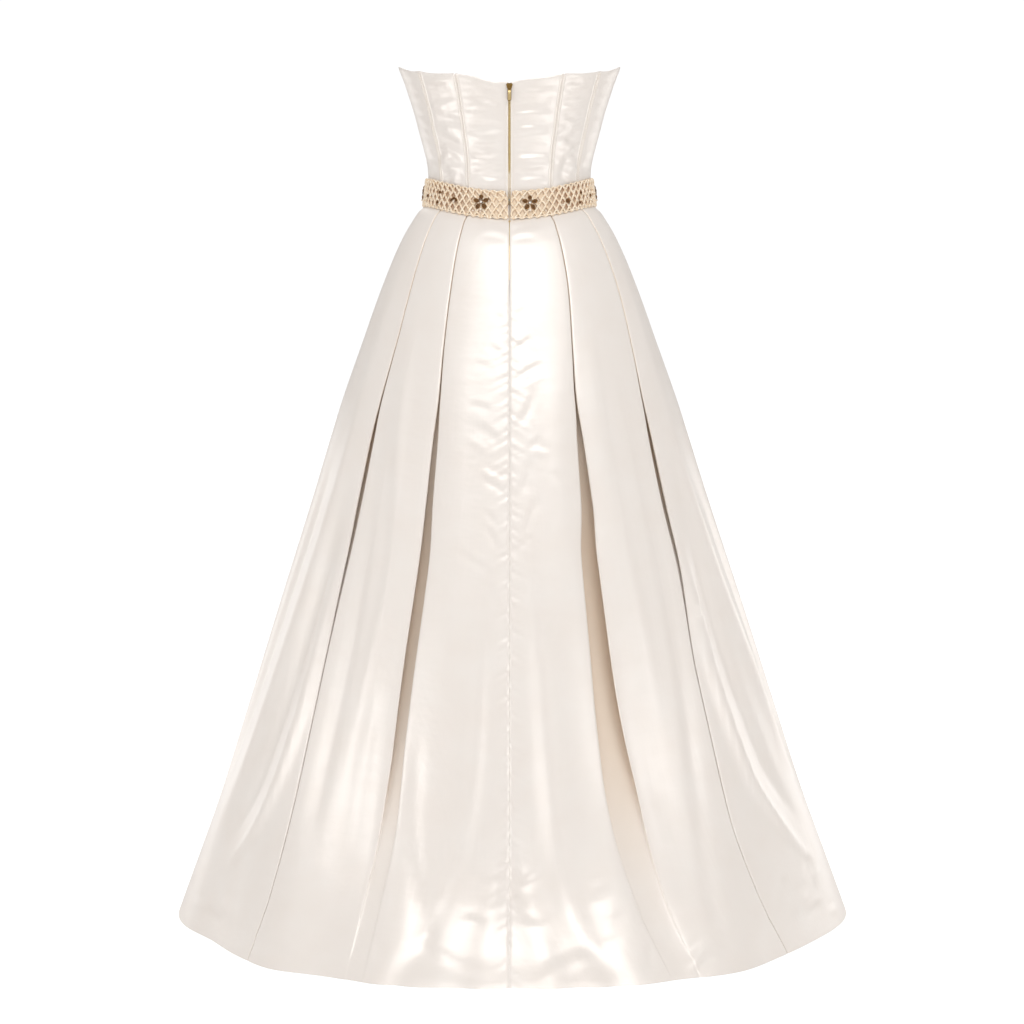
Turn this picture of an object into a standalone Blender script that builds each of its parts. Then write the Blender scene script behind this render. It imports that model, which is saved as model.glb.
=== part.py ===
"""A strapless satin ball gown, filled out as when it is worn, with a latticed belt and a back zip.

Metres, +Z up, the front faces -Y and the back +Y. The origin is the middle of the waist, where the
wearer carries the gown, and the hem lies 1.055 m below it. Angles run round the body in degrees, from
the centre back (0) through the wearer's left side (90) to the centre front (180).
"""
import math

import bpy
import numpy as np

MM = 0.001
HEM_LEVEL = -1.055
SEAM_LEVEL = 0.019
SEAM_GAP = 0.3 * MM
BODICE_WALL = 1.5 * MM
SKIRT_WALL = 1.2 * MM

# The waist seam and the belt hang lower at the centre back than at the sides.
DIP_BACK = 26.7 * MM
DIP_FRONT = 6.0 * MM
DIP_ENDS_LEVEL = -0.32

# The bodice's middle surface.
# level, half width, depth at the back, depth at the front
BODICE_SECTIONS = (
    (-0.010, 0.1183, 0.0933, 0.0945),
    (0.019, 0.1193, 0.0943, 0.0960),
    (0.050, 0.1206, 0.0962, 0.1040),
    (0.062, 0.1221, 0.0970, 0.1090),
    (0.085, 0.1273, 0.0988, 0.1190),
    (0.109, 0.1339, 0.1008, 0.1280),
    (0.132, 0.1398, 0.1030, 0.1340),
    (0.156, 0.1472, 0.1052, 0.1370),
    (0.180, 0.1553, 0.1072, 0.1365),
    (0.210, 0.1670, 0.1090, 0.1320),
)

# The top edge of the bodice, from the centre back to the centre front.
# angle, height
NECKLINE = (
    (0, 0.1668),
    (12, 0.1726),
    (21, 0.1772),
    (35, 0.1822),
    (61, 0.1902),
    (90, 0.2042),
    (112, 0.2045),
    (142, 0.2070),
    (160, 0.1960),
    (180, 0.1840),
)

# Each soft cup: where its fullest point is, how far it reaches and how far it stands out.
CUP_ANGLE = 142
CUP_SPREAD = 24
CUP_LEVEL = 0.135
CUP_HEIGHT = 0.048
CUP_FULLNESS = 13 * MM

# The skirt's middle surface, measured along its fold edges.
# level, half width, depth at the back, depth at the front
SKIRT_SECTIONS = (
    (0.019, 0.1229, 0.0970, 0.0980),
    (-0.0015, 0.1258, 0.1010, 0.1015),
    (-0.0094, 0.1343, 0.1080, 0.1070),
    (-0.0212, 0.1425, 0.1150, 0.1130),
    (-0.0450, 0.1567, 0.1260, 0.1225),
    (-0.0806, 0.1733, 0.1380, 0.1335),
    (-0.1400, 0.1966, 0.1550, 0.1500),
    (-0.1996, 0.2178, 0.1710, 0.1665),
    (-0.2892, 0.2496, 0.1960, 0.1920),
    (-0.4392, 0.2968, 0.2360, 0.2340),
    (-0.5900, 0.3458, 0.2760, 0.2760),
    (-0.7416, 0.3943, 0.3155, 0.3175),
    (-0.8940, 0.4438, 0.3560, 0.3610),
    (-0.9550, 0.4660, 0.3790, 0.3820),
    (-1.0166, 0.4887, 0.4160, 0.4020),
    (-1.0550, 0.5025, 0.4510, 0.4180),
)
SKIRT_LEVELS = (
    SEAM_LEVEL, -0.0015, -0.014, -0.045, -0.10, -0.18, -0.28, -0.39,
    -0.51, -0.64, -0.74, -0.79, -0.83, -0.885, -0.965, -1.02, HEM_LEVEL,
)

# The middle line of each box pleat, as it runs down the skirt.
# level, left inner, left outer, right inner, right outer
PLEAT_LINES = (
    (0.019, 29.5, 53.5, 29.0, 57.5),
    (-0.095, 27.0, 49.5, 27.3, 56.8),
    (-0.210, 25.0, 48.0, 24.0, 53.4),
    (-0.290, 23.5, 48.0, 22.3, 50.6),
    (-0.430, 22.6, 46.8, 22.0, 48.8),
    (-0.510, 22.0, 45.8, 20.8, 48.2),
    (-0.680, 22.4, 45.0, 20.6, 45.2),
    (-0.860, 22.2, 44.4, 21.9, 45.0),
    (-0.970, 23.0, 44.2, 24.0, 47.0),
    (-1.055, 24.0, 45.5, 27.5, 51.0),
)
PLEAT_COLUMN = {"left_inner": 1, "left_outer": 2, "right_inner": 3, "right_outer": 4}

# A pleat's section: half its width, half the opening between its two fold edges, the depth of its
# valley, and how far its layers lie stacked flat on each other (1) or open into the valley (0).
# level, half width, half opening, depth, stacked
WIDE_PLEAT = (
    (0.019, 0.0220, 0.00085, 0.0080, 1.00),
    (-0.055, 0.0240, 0.00085, 0.0090, 1.00),
    (-0.110, 0.0270, 0.00090, 0.0120, 0.95),
    (-0.190, 0.0310, 0.00100, 0.0160, 0.80),
    (-0.290, 0.0380, 0.00180, 0.0240, 0.55),
    (-0.350, 0.0420, 0.00550, 0.0260, 0.30),
    (-0.430, 0.0480, 0.00900, 0.0280, 0.10),
    (-0.520, 0.0530, 0.01280, 0.0290, 0.00),
    (-0.650, 0.0600, 0.01560, 0.0270, 0.00),
    (-0.760, 0.0610, 0.02050, 0.0230, 0.00),
    (-0.830, 0.0540, 0.02500, 0.0180, 0.00),
    (-0.885, 0.0480, 0.02600, 0.0130, 0.00),
    (-0.970, 0.0440, 0.02500, 0.0060, 0.00),
    (-1.055, 0.0420, 0.02400, 0.0010, 0.00),
)
NARROW_PLEAT = (
    (0.019, 0.0220, 0.00085, 0.0064, 1.00),
    (-0.055, 0.0240, 0.00085, 0.0072, 1.00),
    (-0.110, 0.0270, 0.00090, 0.0096, 0.95),
    (-0.190, 0.0310, 0.00100, 0.0128, 0.80),
    (-0.290, 0.0380, 0.00180, 0.0192, 0.55),
    (-0.350, 0.0410, 0.00440, 0.0208, 0.30),
    (-0.430, 0.0450, 0.00560, 0.0224, 0.10),
    (-0.520, 0.0480, 0.00820, 0.0232, 0.00),
    (-0.650, 0.0480, 0.00900, 0.0216, 0.00),
    (-0.760, 0.0340, 0.00900, 0.0160, 0.00),
    (-0.830, 0.0260, 0.01100, 0.0120, 0.00),
    (-0.885, 0.0240, 0.01300, 0.0080, 0.00),
    (-0.970, 0.0250, 0.01450, 0.0040, 0.00),
    (-1.055, 0.0270, 0.01600, 0.0010, 0.00),
)
CLOSED_PLEAT = (
    (0.019, 0.0220, 0.00085, 0.0072, 1.00),
    (-0.055, 0.0240, 0.00085, 0.0080, 1.00),
    (-0.110, 0.0270, 0.00090, 0.0108, 0.95),
    (-0.190, 0.0310, 0.00100, 0.0144, 0.80),
    (-0.290, 0.0360, 0.00180, 0.0200, 0.60),
    (-0.350, 0.0370, 0.00400, 0.0220, 0.45),
    (-0.430, 0.0370, 0.00460, 0.0200, 0.40),
    (-0.520, 0.0340, 0.00300, 0.0160, 0.60),
    (-0.650, 0.0300, 0.00140, 0.0120, 0.90),
    (-0.760, 0.0260, 0.00120, 0.0100, 1.00),
    (-0.830, 0.0225, 0.00120, 0.0100, 1.00),
    (-0.885, 0.0200, 0.00120, 0.0100, 1.00),
    (-0.970, 0.0175, 0.00130, 0.0100, 1.00),
    (-1.055, 0.0160, 0.00150, 0.0100, 1.00),
)
PLEAT_SECTIONS = {
    "left_inner": NARROW_PLEAT,
    "left_outer": CLOSED_PLEAT,
    "right_inner": WIDE_PLEAT,
    "right_outer": CLOSED_PLEAT,
}
LAYER_STEP = 2.2 * MM
FOLD_EDGE = 0.716
FOLD_BACK = 0.284
FOLD_TURN = 0.066
PLEAT_STATIONS = (0.0, 0.218, FOLD_BACK, 0.350, 0.650, FOLD_EDGE, 0.782, 1.0)

# Soft flutes that open towards the hem: a depth above 0 sinks the cloth in, and one below 0 lets it
# stand out. The two widest make the skirt hang a little towards the wearer's right.
# angle at the start, start level, angle at the hem, half width in degrees, depth at the hem
FLUTES = (
    (84.0, -0.15, 84.0, 22.0, 0.005),
    (64.0, -0.62, 61.0, 11.0, 0.018),
    (39.0, -0.78, 39.0, 6.0, -0.011),
    (17.0, -0.78, 17.0, 8.0, -0.012),
    (-6.0, -0.50, -10.0, 3.5, 0.004),
    (-17.0, -0.78, -17.0, 8.0, -0.014),
    (-36.0, -0.78, -36.0, 8.5, -0.016),
    (-66.0, -0.60, -62.0, 15.0, 0.012),
    (-84.0, -0.15, -84.0, 22.0, -0.005),
    (-117.0, -0.62, -118.0, 12.0, 0.014),
    (-142.0, -0.78, -142.0, 7.5, -0.013),
    (-164.0, -0.78, -163.0, 8.0, -0.012),
    (-173.0, -0.60, -170.0, 3.5, 0.004),
    (174.0, -0.55, 171.0, 3.5, 0.004),
    (163.0, -0.78, 163.0, 8.0, -0.012),
    (141.0, -0.78, 141.0, 6.5, -0.012),
    (118.0, -0.62, 119.0, 11.0, 0.016),
)

# The slit below the waist, where the zip ends inside the centre back seam.
# level, half the gap
SLIT = (
    (0.019, 0.0012),
    (-0.030, 0.0012),
    (-0.070, 0.0008),
    (-0.110, 0.0004),
    (-0.150, 0.00015),
    (-1.055, 0.00015),
)

# The side seams of the bodice's panels, and the raised channels of their boning.
BACK_SEAM = 30
SIDE_BACK_SEAM = 56
SIDE_FRONT_SEAM = 104
FRONT_SEAM = 152
CHANNEL_HALF = 3.4 * MM
CHANNEL_EDGE = 1.0 * MM
CHANNEL_HEIGHT = 0.6 * MM
BODICE_ROWS = (0.0, 0.10, 0.26, 0.42, 0.58, 0.74, 0.88, 1.0)
ZIP_OPENING = 2.6 * MM

# The belt's plain inner face.
# level, half width, depth at the back, depth at the front
BELT_SECTIONS = (
    (-0.0015, 0.1269, 0.1021, 0.1026),
    (0.0394, 0.1222, 0.0975, 0.1036),
)
BELT_TOP = 0.0394
BELT_BOTTOM = -0.0015
BELT_BASE = 1.6 * MM
CORD_HEIGHT = 1.2 * MM
LATTICE_COLUMNS = 136
LATTICE_ROWS = 5

# The two ends of the belt at the centre back: half the gap between them.
# share of the belt's height from the top, at the wearer's left, at the wearer's right
BELT_ENDS = (
    (0.00, 0.0062, 0.0041),
    (0.20, 0.0032, 0.0024),
    (0.30, 0.0015, 0.0013),
    (0.60, 0.0020, 0.0020),
    (1.00, 0.0004, 0.0004),
)
HOOK_SHARE = 0.32

# What is sewn on the belt.
# name, form, angle, level
BELT_MOTIFS = (
    ("flower_back_L", "flower", 18.8, 0.0205),
    ("flower_back_R", "flower", -13.5, 0.0205),
    ("flower_side_L", "flower", 92.0, 0.0190),
    ("flower_side_R", "flower", -92.0, 0.0190),
    ("flower_front_L", "flower", 148.0, 0.0190),
    ("flower_front_R", "flower", -148.0, 0.0190),
    ("arch_motif", "arch", 39.2, 0.0150),
    ("round_stone_back", "round", -41.5, 0.0150),
    ("round_stone_front", "round", 180.0, 0.0190),
    ("round_stone_side_L", "round", 119.0, 0.0190),
    ("round_stone_side_R", "round", -119.0, 0.0190),
    ("small_stone_1", "small", 52.8, 0.0235),
    ("small_stone_2", "small", 54.5, 0.0090),
    ("small_stone_3", "small", 69.2, 0.0145),
    ("small_stone_4", "small", -55.0, 0.0225),
    ("small_stone_5", "small", -53.0, 0.0090),
    ("small_stone_6", "small", -68.2, 0.0154),
    ("small_stone_7", "small", 165.0, 0.0190),
    ("small_stone_8", "small", -165.0, 0.0190),
)
MOTIF_GAP = 0.3 * MM

# A flower of five domed stones round a crystal: how far it reaches at a petal and between two.
PETALS = 5
FLOWER_REACH = 12.2 * MM
FLOWER_WAIST = 5.2 * MM
CRYSTAL_HALF = 2.3 * MM
CRYSTAL_RISE = 3.4 * MM

# A single stone: half its width, its height, and how many corners it is cut with.
ROUND_STONE = (3.9 * MM, 2.6 * MM, 10)
SMALL_STONE = (2.5 * MM, 1.9 * MM, 8)

# Three stones in an arch: half its turn in degrees, its two edges, and how much each stone adds.
ARCH_STONES = 3
ARCH_STEPS = 13
ARCH_HALF_TURN = 95
ARCH_INNER = 3.0 * MM
ARCH_OUTER = 5.6 * MM
ARCH_SWELL = 1.6 * MM
ARCH_RISE = 1.1 * MM

# The hook at the belt's ends: half its width, half its height, and how far its two faces stand out.
HOOK_HALF = 1.0 * MM
HOOK_TALL = 1.6 * MM
HOOK_BACK = 0.3 * MM
HOOK_FRONT = 2.3 * MM

# The zip at the centre back.
ZIP_TOP = 0.1655
ZIP_END_LEVEL = -0.100
TAPE_WALL = 1.0 * MM
TAPE_INNER = 0.7 * MM
TAPE_OUTER = 12.5 * MM
CHAIN_HALF = 2.0 * MM
CHAIN_THICK = 1.8 * MM
SLIDER_WIDTH = 9.4 * MM
SLIDER_FOOT = 6.6 * MM
SLIDER_HEIGHT = 8.6 * MM
SLIDER_THICK = 1.3 * MM
SLIDER_CORNER = 1.6 * MM
BRIDGE_HALF = 0.8 * MM
BRIDGE_OUTER = 2.6 * MM
BRIDGE_INNER = 1.7 * MM
BRIDGE_RISE = 3.3 * MM
BRIDGE_CLEAR = 2.4 * MM
BRIDGE_SUNK = 0.6 * MM
HINGE_BELOW_TOP = 4.3 * MM
HINGE_OUT = 1.45 * MM
PULL_HALF = 2.6 * MM
PULL_THICK = 1.0 * MM
PULL_LENGTH = 21.0 * MM
EYE_HALF = 1.5 * MM
EYE_LENGTH = 4.6 * MM


def along(table, column, at):
    """One column of a table at a level or angle, on a smooth curve that never overshoots its rows."""
    rows = np.array(sorted(table))
    x = rows[:, 0]
    y = rows[:, column]
    slope = np.diff(y) / np.diff(x)
    before = slope[:-1]
    after = slope[1:]
    total = before + after
    same_way = before * after > 0
    inside = np.where(same_way, 2 * before * after / np.where(same_way, total, 1), 0)
    tangent = np.concatenate([slope[:1], inside, slope[-1:]])
    at = np.clip(at, x[0], x[-1])
    cell = np.clip(np.searchsorted(x, at) - 1, 0, len(x) - 2)
    width = x[cell + 1] - x[cell]
    t = (at - x[cell]) / width
    start = (1 + 2 * t) * (1 - t) ** 2 * y[cell] + t * (1 - t) ** 2 * width * tangent[cell]
    end = t * t * (3 - 2 * t) * y[cell + 1] + t * t * (t - 1) * width * tangent[cell + 1]
    return start + end


def smooth(value):
    """0 below 0, 1 above 1, and an even S between."""
    value = np.clip(value, 0, 1)
    return value * value * (3 - 2 * value)


def waist_dip(angle, level):
    """How far the waist sinks at an angle; it fades out down the skirt."""
    cosine = np.cos(np.radians(angle))
    deepest = np.where(cosine > 0, DIP_BACK, DIP_FRONT)
    share = smooth((level - DIP_ENDS_LEVEL) / (SEAM_LEVEL - DIP_ENDS_LEVEL))
    return -deepest * cosine ** 2 * share


def section(table, angle, level):
    """Where a section's half ellipses lie at an angle, and the horizontal direction out of them."""
    turn = np.radians(angle)
    half = along(table, 1, level)
    depth = np.where(np.cos(turn) > 0, along(table, 2, level), along(table, 3, level))
    place = np.stack([half * np.sin(turn), depth * np.cos(turn)], axis=-1)
    out = np.stack([np.sin(turn) / half, np.cos(turn) / depth], axis=-1)
    out = out / np.linalg.norm(out, axis=-1, keepdims=True)
    return place, out


def degrees_per_metre(table, angle, level):
    """Turns a length round a section into degrees at an angle."""
    turn = np.radians(angle)
    half = along(table, 1, level)
    depth = np.where(np.cos(turn) > 0, along(table, 2, level), along(table, 3, level))
    return np.degrees(1 / np.hypot(half * np.cos(turn), depth * np.sin(turn)))


def outward(points):
    """The unit normal at each point of a grid whose rows run down and whose columns run with the angle."""
    def tangent(grid, axis):
        step = np.diff(grid, axis=axis)
        step = step / np.linalg.norm(step, axis=-1, keepdims=True)
        first = np.take(step, [0], axis=axis)
        last = np.take(step, [-1], axis=axis)
        return np.concatenate([first, step], axis=axis) + np.concatenate([step, last], axis=axis)

    across = tangent(points, 1)
    down = tangent(points, 0)
    normal = np.cross(across, down)
    return normal / np.linalg.norm(normal, axis=-1, keepdims=True)


def material(name, colour, roughness, metallic=0.0):
    """A plain finish for one kind of piece."""
    made = bpy.data.materials.new(name)
    made.use_nodes = True
    shader = made.node_tree.nodes["Principled BSDF"]
    shader.inputs["Base Color"].default_value = (*colour, 1)
    shader.inputs["Roughness"].default_value = roughness
    shader.inputs["Metallic"].default_value = metallic
    made.diffuse_color = (*colour, 1)
    return made


def solid(name, points, faces, finish, sharp_from=40):
    """A named closed mesh."""
    mesh = bpy.data.meshes.new(name)
    mesh.from_pydata([tuple(point) for point in points], [], [tuple(face) for face in faces])
    mesh.validate()
    mesh.materials.append(finish)
    mesh.shade_smooth()
    mesh.set_sharp_from_angle(angle=math.radians(sharp_from))
    made = bpy.data.objects.new(name, mesh)
    bpy.context.scene.collection.objects.link(made)
    return made


def grid_faces(rows, columns, start, flipped, checkered=False):
    """Two triangles for each cell of a grid whose first point has the index start."""
    faces = []
    for row in range(rows - 1):
        for column in range(columns - 1):
            a = start + row * columns + column
            b = a + 1
            c = b + columns
            d = a + columns
            if checkered and (row + column) % 2:
                pair = [(a, b, d), (b, c, d)]
            else:
                pair = [(a, b, c), (a, c, d)]
            faces += [face[::-1] for face in pair] if flipped else pair
    return faces


def rim_faces(rows, columns, inner_start):
    """The edge all round between an outer grid and an inner grid of the same size."""
    top = [column for column in range(columns)]
    right = [row * columns + columns - 1 for row in range(1, rows)]
    bottom = [(rows - 1) * columns + column for column in range(columns - 2, -1, -1)]
    left = [row * columns for row in range(rows - 2, 0, -1)]
    loop = top + right + bottom + left
    faces = []
    for here, there in zip(loop, loop[1:] + loop[:1]):
        faces.append((there, here, here + inner_start))
        faces.append((there, here + inner_start, there + inner_start))
    return faces


def wall(name, outer, inner, finish):
    """Cloth as a closed solid between an outer and an inner grid of points."""
    rows, columns = outer.shape[:2]
    count = rows * columns
    points = np.concatenate([outer.reshape(-1, 3), inner.reshape(-1, 3)])
    faces = grid_faces(rows, columns, 0, False)
    faces += grid_faces(rows, columns, count, True)
    faces += rim_faces(rows, columns, count)
    return solid(name, points, faces, finish)


def shell(name, middle, out_by, in_by, finish):
    """Cloth a distance each side of a middle grid, cut level along its top and bottom rows."""
    normal = outward(middle)
    outer = middle + normal * out_by
    inner = middle - normal * in_by
    for grid in (outer, inner):
        grid[0, :, 2] = middle[0, :, 2]
        grid[-1, :, 2] = middle[-1, :, 2]
    return wall(name, outer, inner, finish)


def relief_wall(name, outer, inner, finish):
    """A band whose outer grid is worked in relief over a plain inner face of only two rows."""
    rows, columns = outer.shape[:2]
    count = rows * columns
    points = np.concatenate([outer.reshape(-1, 3), inner.reshape(-1, 3)])
    faces = grid_faces(rows, columns, 0, False, checkered=True)
    faces += grid_faces(2, columns, count, True)
    for column in range(columns - 1):
        top = (column, column + 1, count + column + 1, count + column)
        bottom = [index + (rows - 1) * columns for index in top[:2]]
        bottom += [index + columns for index in top[2:]]
        faces += [(top[0], top[3], top[2]), (top[0], top[2], top[1])]
        faces += [(bottom[0], bottom[1], bottom[2]), (bottom[0], bottom[2], bottom[3])]
    for column, flipped in ((0, False), (columns - 1, True)):
        edge = [row * columns + column for row in range(rows)] + [count + columns + column]
        fan = [(count + column, here, there) for here, there in zip(edge, edge[1:])]
        faces += [face[::-1] for face in fan] if flipped else fan
    return solid(name, points, faces, finish)


def bodice_middle(angle, height):
    """The bodice's middle surface, with its two cups."""
    place, out = section(BODICE_SECTIONS, angle, height)
    from_cup = (np.abs(angle) - CUP_ANGLE) / CUP_SPREAD
    above = (height - CUP_LEVEL) / CUP_HEIGHT
    fullness = CUP_FULLNESS * np.exp(-from_cup ** 2 - above ** 2)
    place = place + out * fullness[..., None]
    return np.concatenate([place, height[..., None]], axis=-1)


def bodice_panel(name, start, end, finish, start_inset=None, end_inset=None):
    """One panel between two seams, in the order of rising angle, with a raised channel along each."""
    start_inset = SEAM_GAP / 2 if start_inset is None else start_inset
    end_inset = SEAM_GAP / 2 if end_inset is None else end_inset
    middle_share = np.array([0.25, 0.5, 0.75])
    raised = np.array([1, 1, 0, 0, 0, 0, 0, 1, 1], dtype=float)
    share = np.array(BODICE_ROWS)[:, None]
    rough_angle = np.linspace(start, end, len(raised))[None, :]
    # The height of each row is worked out at the panel's own angles, so it is found twice.
    angle = np.repeat(rough_angle, len(share), axis=0)
    for _ in range(2):
        top = along(NECKLINE, 1, np.abs(angle))
        bottom = SEAM_LEVEL + waist_dip(angle, SEAM_LEVEL) + SEAM_GAP / 2
        height = top + (bottom - top) * share
        first = degrees_per_metre(BODICE_SECTIONS, start, height[:, :1])
        last = degrees_per_metre(BODICE_SECTIONS, end, height[:, -1:])
        low = start + first * start_inset
        high = end - last * end_inset
        ends = [low, low + first * CHANNEL_HALF, low + first * (CHANNEL_HALF + CHANNEL_EDGE)]
        others = [high - last * (CHANNEL_HALF + CHANNEL_EDGE), high - last * CHANNEL_HALF, high]
        between = ends[2] + (others[0] - ends[2]) * middle_share[None, :]
        angle = np.concatenate(ends + [between] + others, axis=1)
    top = along(NECKLINE, 1, np.abs(angle))
    bottom = SEAM_LEVEL + waist_dip(angle, SEAM_LEVEL) + SEAM_GAP / 2
    height = top + (bottom - top) * share
    out_by = BODICE_WALL / 2 + CHANNEL_HEIGHT * raised[None, :, None]
    return shell(name, bodice_middle(angle, height), out_by, BODICE_WALL / 2, finish)


def make_bodice(satin):
    """Nine panels round the body."""
    bodice_panel("bodice_back_L", 0, BACK_SEAM, satin, start_inset=ZIP_OPENING)
    bodice_panel("bodice_back_R", -BACK_SEAM, 0, satin, end_inset=ZIP_OPENING)
    bodice_panel("bodice_side_back_L", BACK_SEAM, SIDE_BACK_SEAM, satin)
    bodice_panel("bodice_side_back_R", -SIDE_BACK_SEAM, -BACK_SEAM, satin)
    bodice_panel("bodice_side_L", SIDE_BACK_SEAM, SIDE_FRONT_SEAM, satin)
    bodice_panel("bodice_side_R", -SIDE_FRONT_SEAM, -SIDE_BACK_SEAM, satin)
    bodice_panel("bodice_side_front_L", SIDE_FRONT_SEAM, FRONT_SEAM, satin)
    bodice_panel("bodice_side_front_R", -FRONT_SEAM, -SIDE_FRONT_SEAM, satin)
    bodice_centre_front(satin)


def bodice_centre_front(satin):
    """The panel across the centre front, which crosses the angle of 180 degrees."""
    share = np.array(BODICE_ROWS)[:, None]
    raised = np.array([1, 1, 0, 0, 0, 0, 0, 0, 0, 1, 1], dtype=float)
    low_share = np.array([0.0, CHANNEL_HALF, CHANNEL_HALF + CHANNEL_EDGE]) + SEAM_GAP / 2
    span = 360 - 2 * FRONT_SEAM
    step = degrees_per_metre(BODICE_SECTIONS, FRONT_SEAM, CUP_LEVEL)
    left = FRONT_SEAM + low_share * step
    right = FRONT_SEAM + span - low_share[::-1] * step
    between = np.linspace(left[-1], right[0], 7)[1:-1]
    angle = np.repeat(np.concatenate([left, between, right])[None, :], len(share), axis=0)
    folded = np.where(angle > 180, 360 - angle, angle)
    top = along(NECKLINE, 1, folded)
    bottom = SEAM_LEVEL + waist_dip(angle, SEAM_LEVEL) + SEAM_GAP / 2
    height = top + (bottom - top) * share
    signed = np.where(angle > 180, angle - 360, angle)
    out_by = BODICE_WALL / 2 + CHANNEL_HEIGHT * raised[None, :, None]
    shell("bodice_centre_front", bodice_middle(signed, height), out_by, BODICE_WALL / 2, satin)


def pleat_offsets(pleat, station, level):
    """How far round and how far in a point of a named pleat lies.

    Across the pleat the cloth runs s = a u + b sin(2 pi u), which folds back on itself while b is
    large and opens into a soft valley as b falls. Its depth passes from flat stacked layers, one step
    at each fold, to a cosine valley.
    """
    sections = PLEAT_SECTIONS[pleat.split("_", 1)[1]]
    half = along(sections, 1, level)
    opening = along(sections, 2, level)
    depth = along(sections, 3, level)
    stacked = along(sections, 4, level)
    fold = (FOLD_EDGE * half - opening) / -math.sin(2 * math.pi * FOLD_EDGE)
    round_it = half * station + fold * np.sin(2 * math.pi * station)
    size = np.abs(station)
    first_turn = smooth((FOLD_EDGE + FOLD_TURN - size) / (2 * FOLD_TURN))
    second_turn = smooth((FOLD_BACK + FOLD_TURN - size) / (2 * FOLD_TURN))
    layers = LAYER_STEP * (first_turn + second_turn)
    valley = depth * (1 + np.cos(math.pi * station)) / 2
    return round_it, stacked * layers + (1 - stacked) * valley


def flute_depth(angle, level):
    """How far the flutes sink the skirt in at an angle and a level."""
    total = np.zeros(np.broadcast(angle, level).shape)
    for start_angle, start_level, hem_angle, width, depth in FLUTES:
        share = smooth((start_level - level) / (start_level - HEM_LEVEL))
        middle = start_angle + (hem_angle - start_angle) * share
        away = (angle - middle + 180) % 360 - 180
        total = total + depth * share * np.exp(-(away / width) ** 2)
    return total


def pleat_angle(pleat, level):
    """The middle line of a named pleat. Those of the front mirror the back's."""
    place, side = pleat.split("_", 1)
    line = along(PLEAT_LINES, PLEAT_COLUMN[side], level)
    angle = line if side.startswith("left") else -line
    if place == "back":
        return angle
    return 180 - line if side.startswith("left") else 180 + line


def skirt_panel(name, start, pleats, end, shares, satin, slit_at_start=False, slit_at_end=False):
    """A skirt panel between two seams. shares holds the columns in each flat stretch, as parts of it."""
    level = np.array(SKIRT_LEVELS)[:, None]
    stations = sorted({-station for station in PLEAT_STATIONS} | set(PLEAT_STATIONS))
    stations = np.array(stations)[None, :]
    gap = along(SLIT, 1, level)
    first_gap = gap if slit_at_start else np.full_like(level, SEAM_GAP / 2)
    last_gap = gap if slit_at_end else np.full_like(level, SEAM_GAP / 2)
    low = start + first_gap * degrees_per_metre(SKIRT_SECTIONS, start, level)
    high = end - last_gap * degrees_per_metre(SKIRT_SECTIONS, end, level)
    angles = [low]
    insets = [np.zeros_like(low)]
    reached = low
    for pleat, parts in zip(list(pleats) + [None], shares):
        if pleat is None:
            following = high
        else:
            middle = pleat_angle(pleat, level)
            round_it, inset = pleat_offsets(pleat, stations, level)
            pleated = middle + round_it * degrees_per_metre(SKIRT_SECTIONS, middle, level)
            following = pleated[:, :1]
        flat = reached + (following - reached) * np.array(parts)[None, :]
        angles.append(flat)
        insets.append(np.zeros_like(flat))
        if pleat is not None:
            angles.append(pleated)
            insets.append(inset)
            reached = pleated[:, -1:]
    angles.append(high)
    insets.append(np.zeros_like(high))
    angle = np.concatenate(angles, axis=1)
    inset = np.concatenate(insets, axis=1)
    levels = np.repeat(level, angle.shape[1], axis=1)
    place, out = section(SKIRT_SECTIONS, angle, levels)
    inset = inset + flute_depth(angle, levels)
    place = place - out * inset[..., None]
    height = levels + waist_dip(angle, levels)
    height[0] -= SEAM_GAP / 2
    middle = np.concatenate([place, height[..., None]], axis=-1)
    shell(name, middle, SKIRT_WALL / 2, SKIRT_WALL / 2, satin)


def make_skirt(satin):
    """Two back panels with a centre seam and one front panel, with four inverted box pleats each way."""
    by_seam = (0.3, 0.6, 0.85)
    between = (0.5,)
    by_side = (0.12, 0.32, 0.55, 0.8)
    to_seam = tuple(1 - part for part in by_seam[::-1])
    from_side = tuple(1 - part for part in by_side[::-1])
    skirt_panel(
        "skirt_back_L", 0, ("back_left_inner", "back_left_outer"), 90,
        (by_seam, between, by_side), satin, slit_at_start=True,
    )
    skirt_panel(
        "skirt_back_R", -90, ("back_right_outer", "back_right_inner"), 0,
        (from_side, between, to_seam), satin, slit_at_end=True,
    )
    fronts = ("front_left_outer", "front_left_inner", "front_right_inner", "front_right_outer")
    middle_front = (0.15, 0.38, 0.62, 0.85)
    skirt_panel(
        "skirt_front", 90, fronts, 270,
        (from_side, between, middle_front, between, by_side), satin,
    )


def belt_face(angle, level, out_by):
    """A point of the belt, moved out from its plain inner face."""
    place, out = section(BELT_SECTIONS, angle, level)
    place = place + out * np.asarray(out_by)[..., None]
    height = level + waist_dip(angle, SEAM_LEVEL)
    return np.concatenate([place, height[..., None]], axis=-1)


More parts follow.
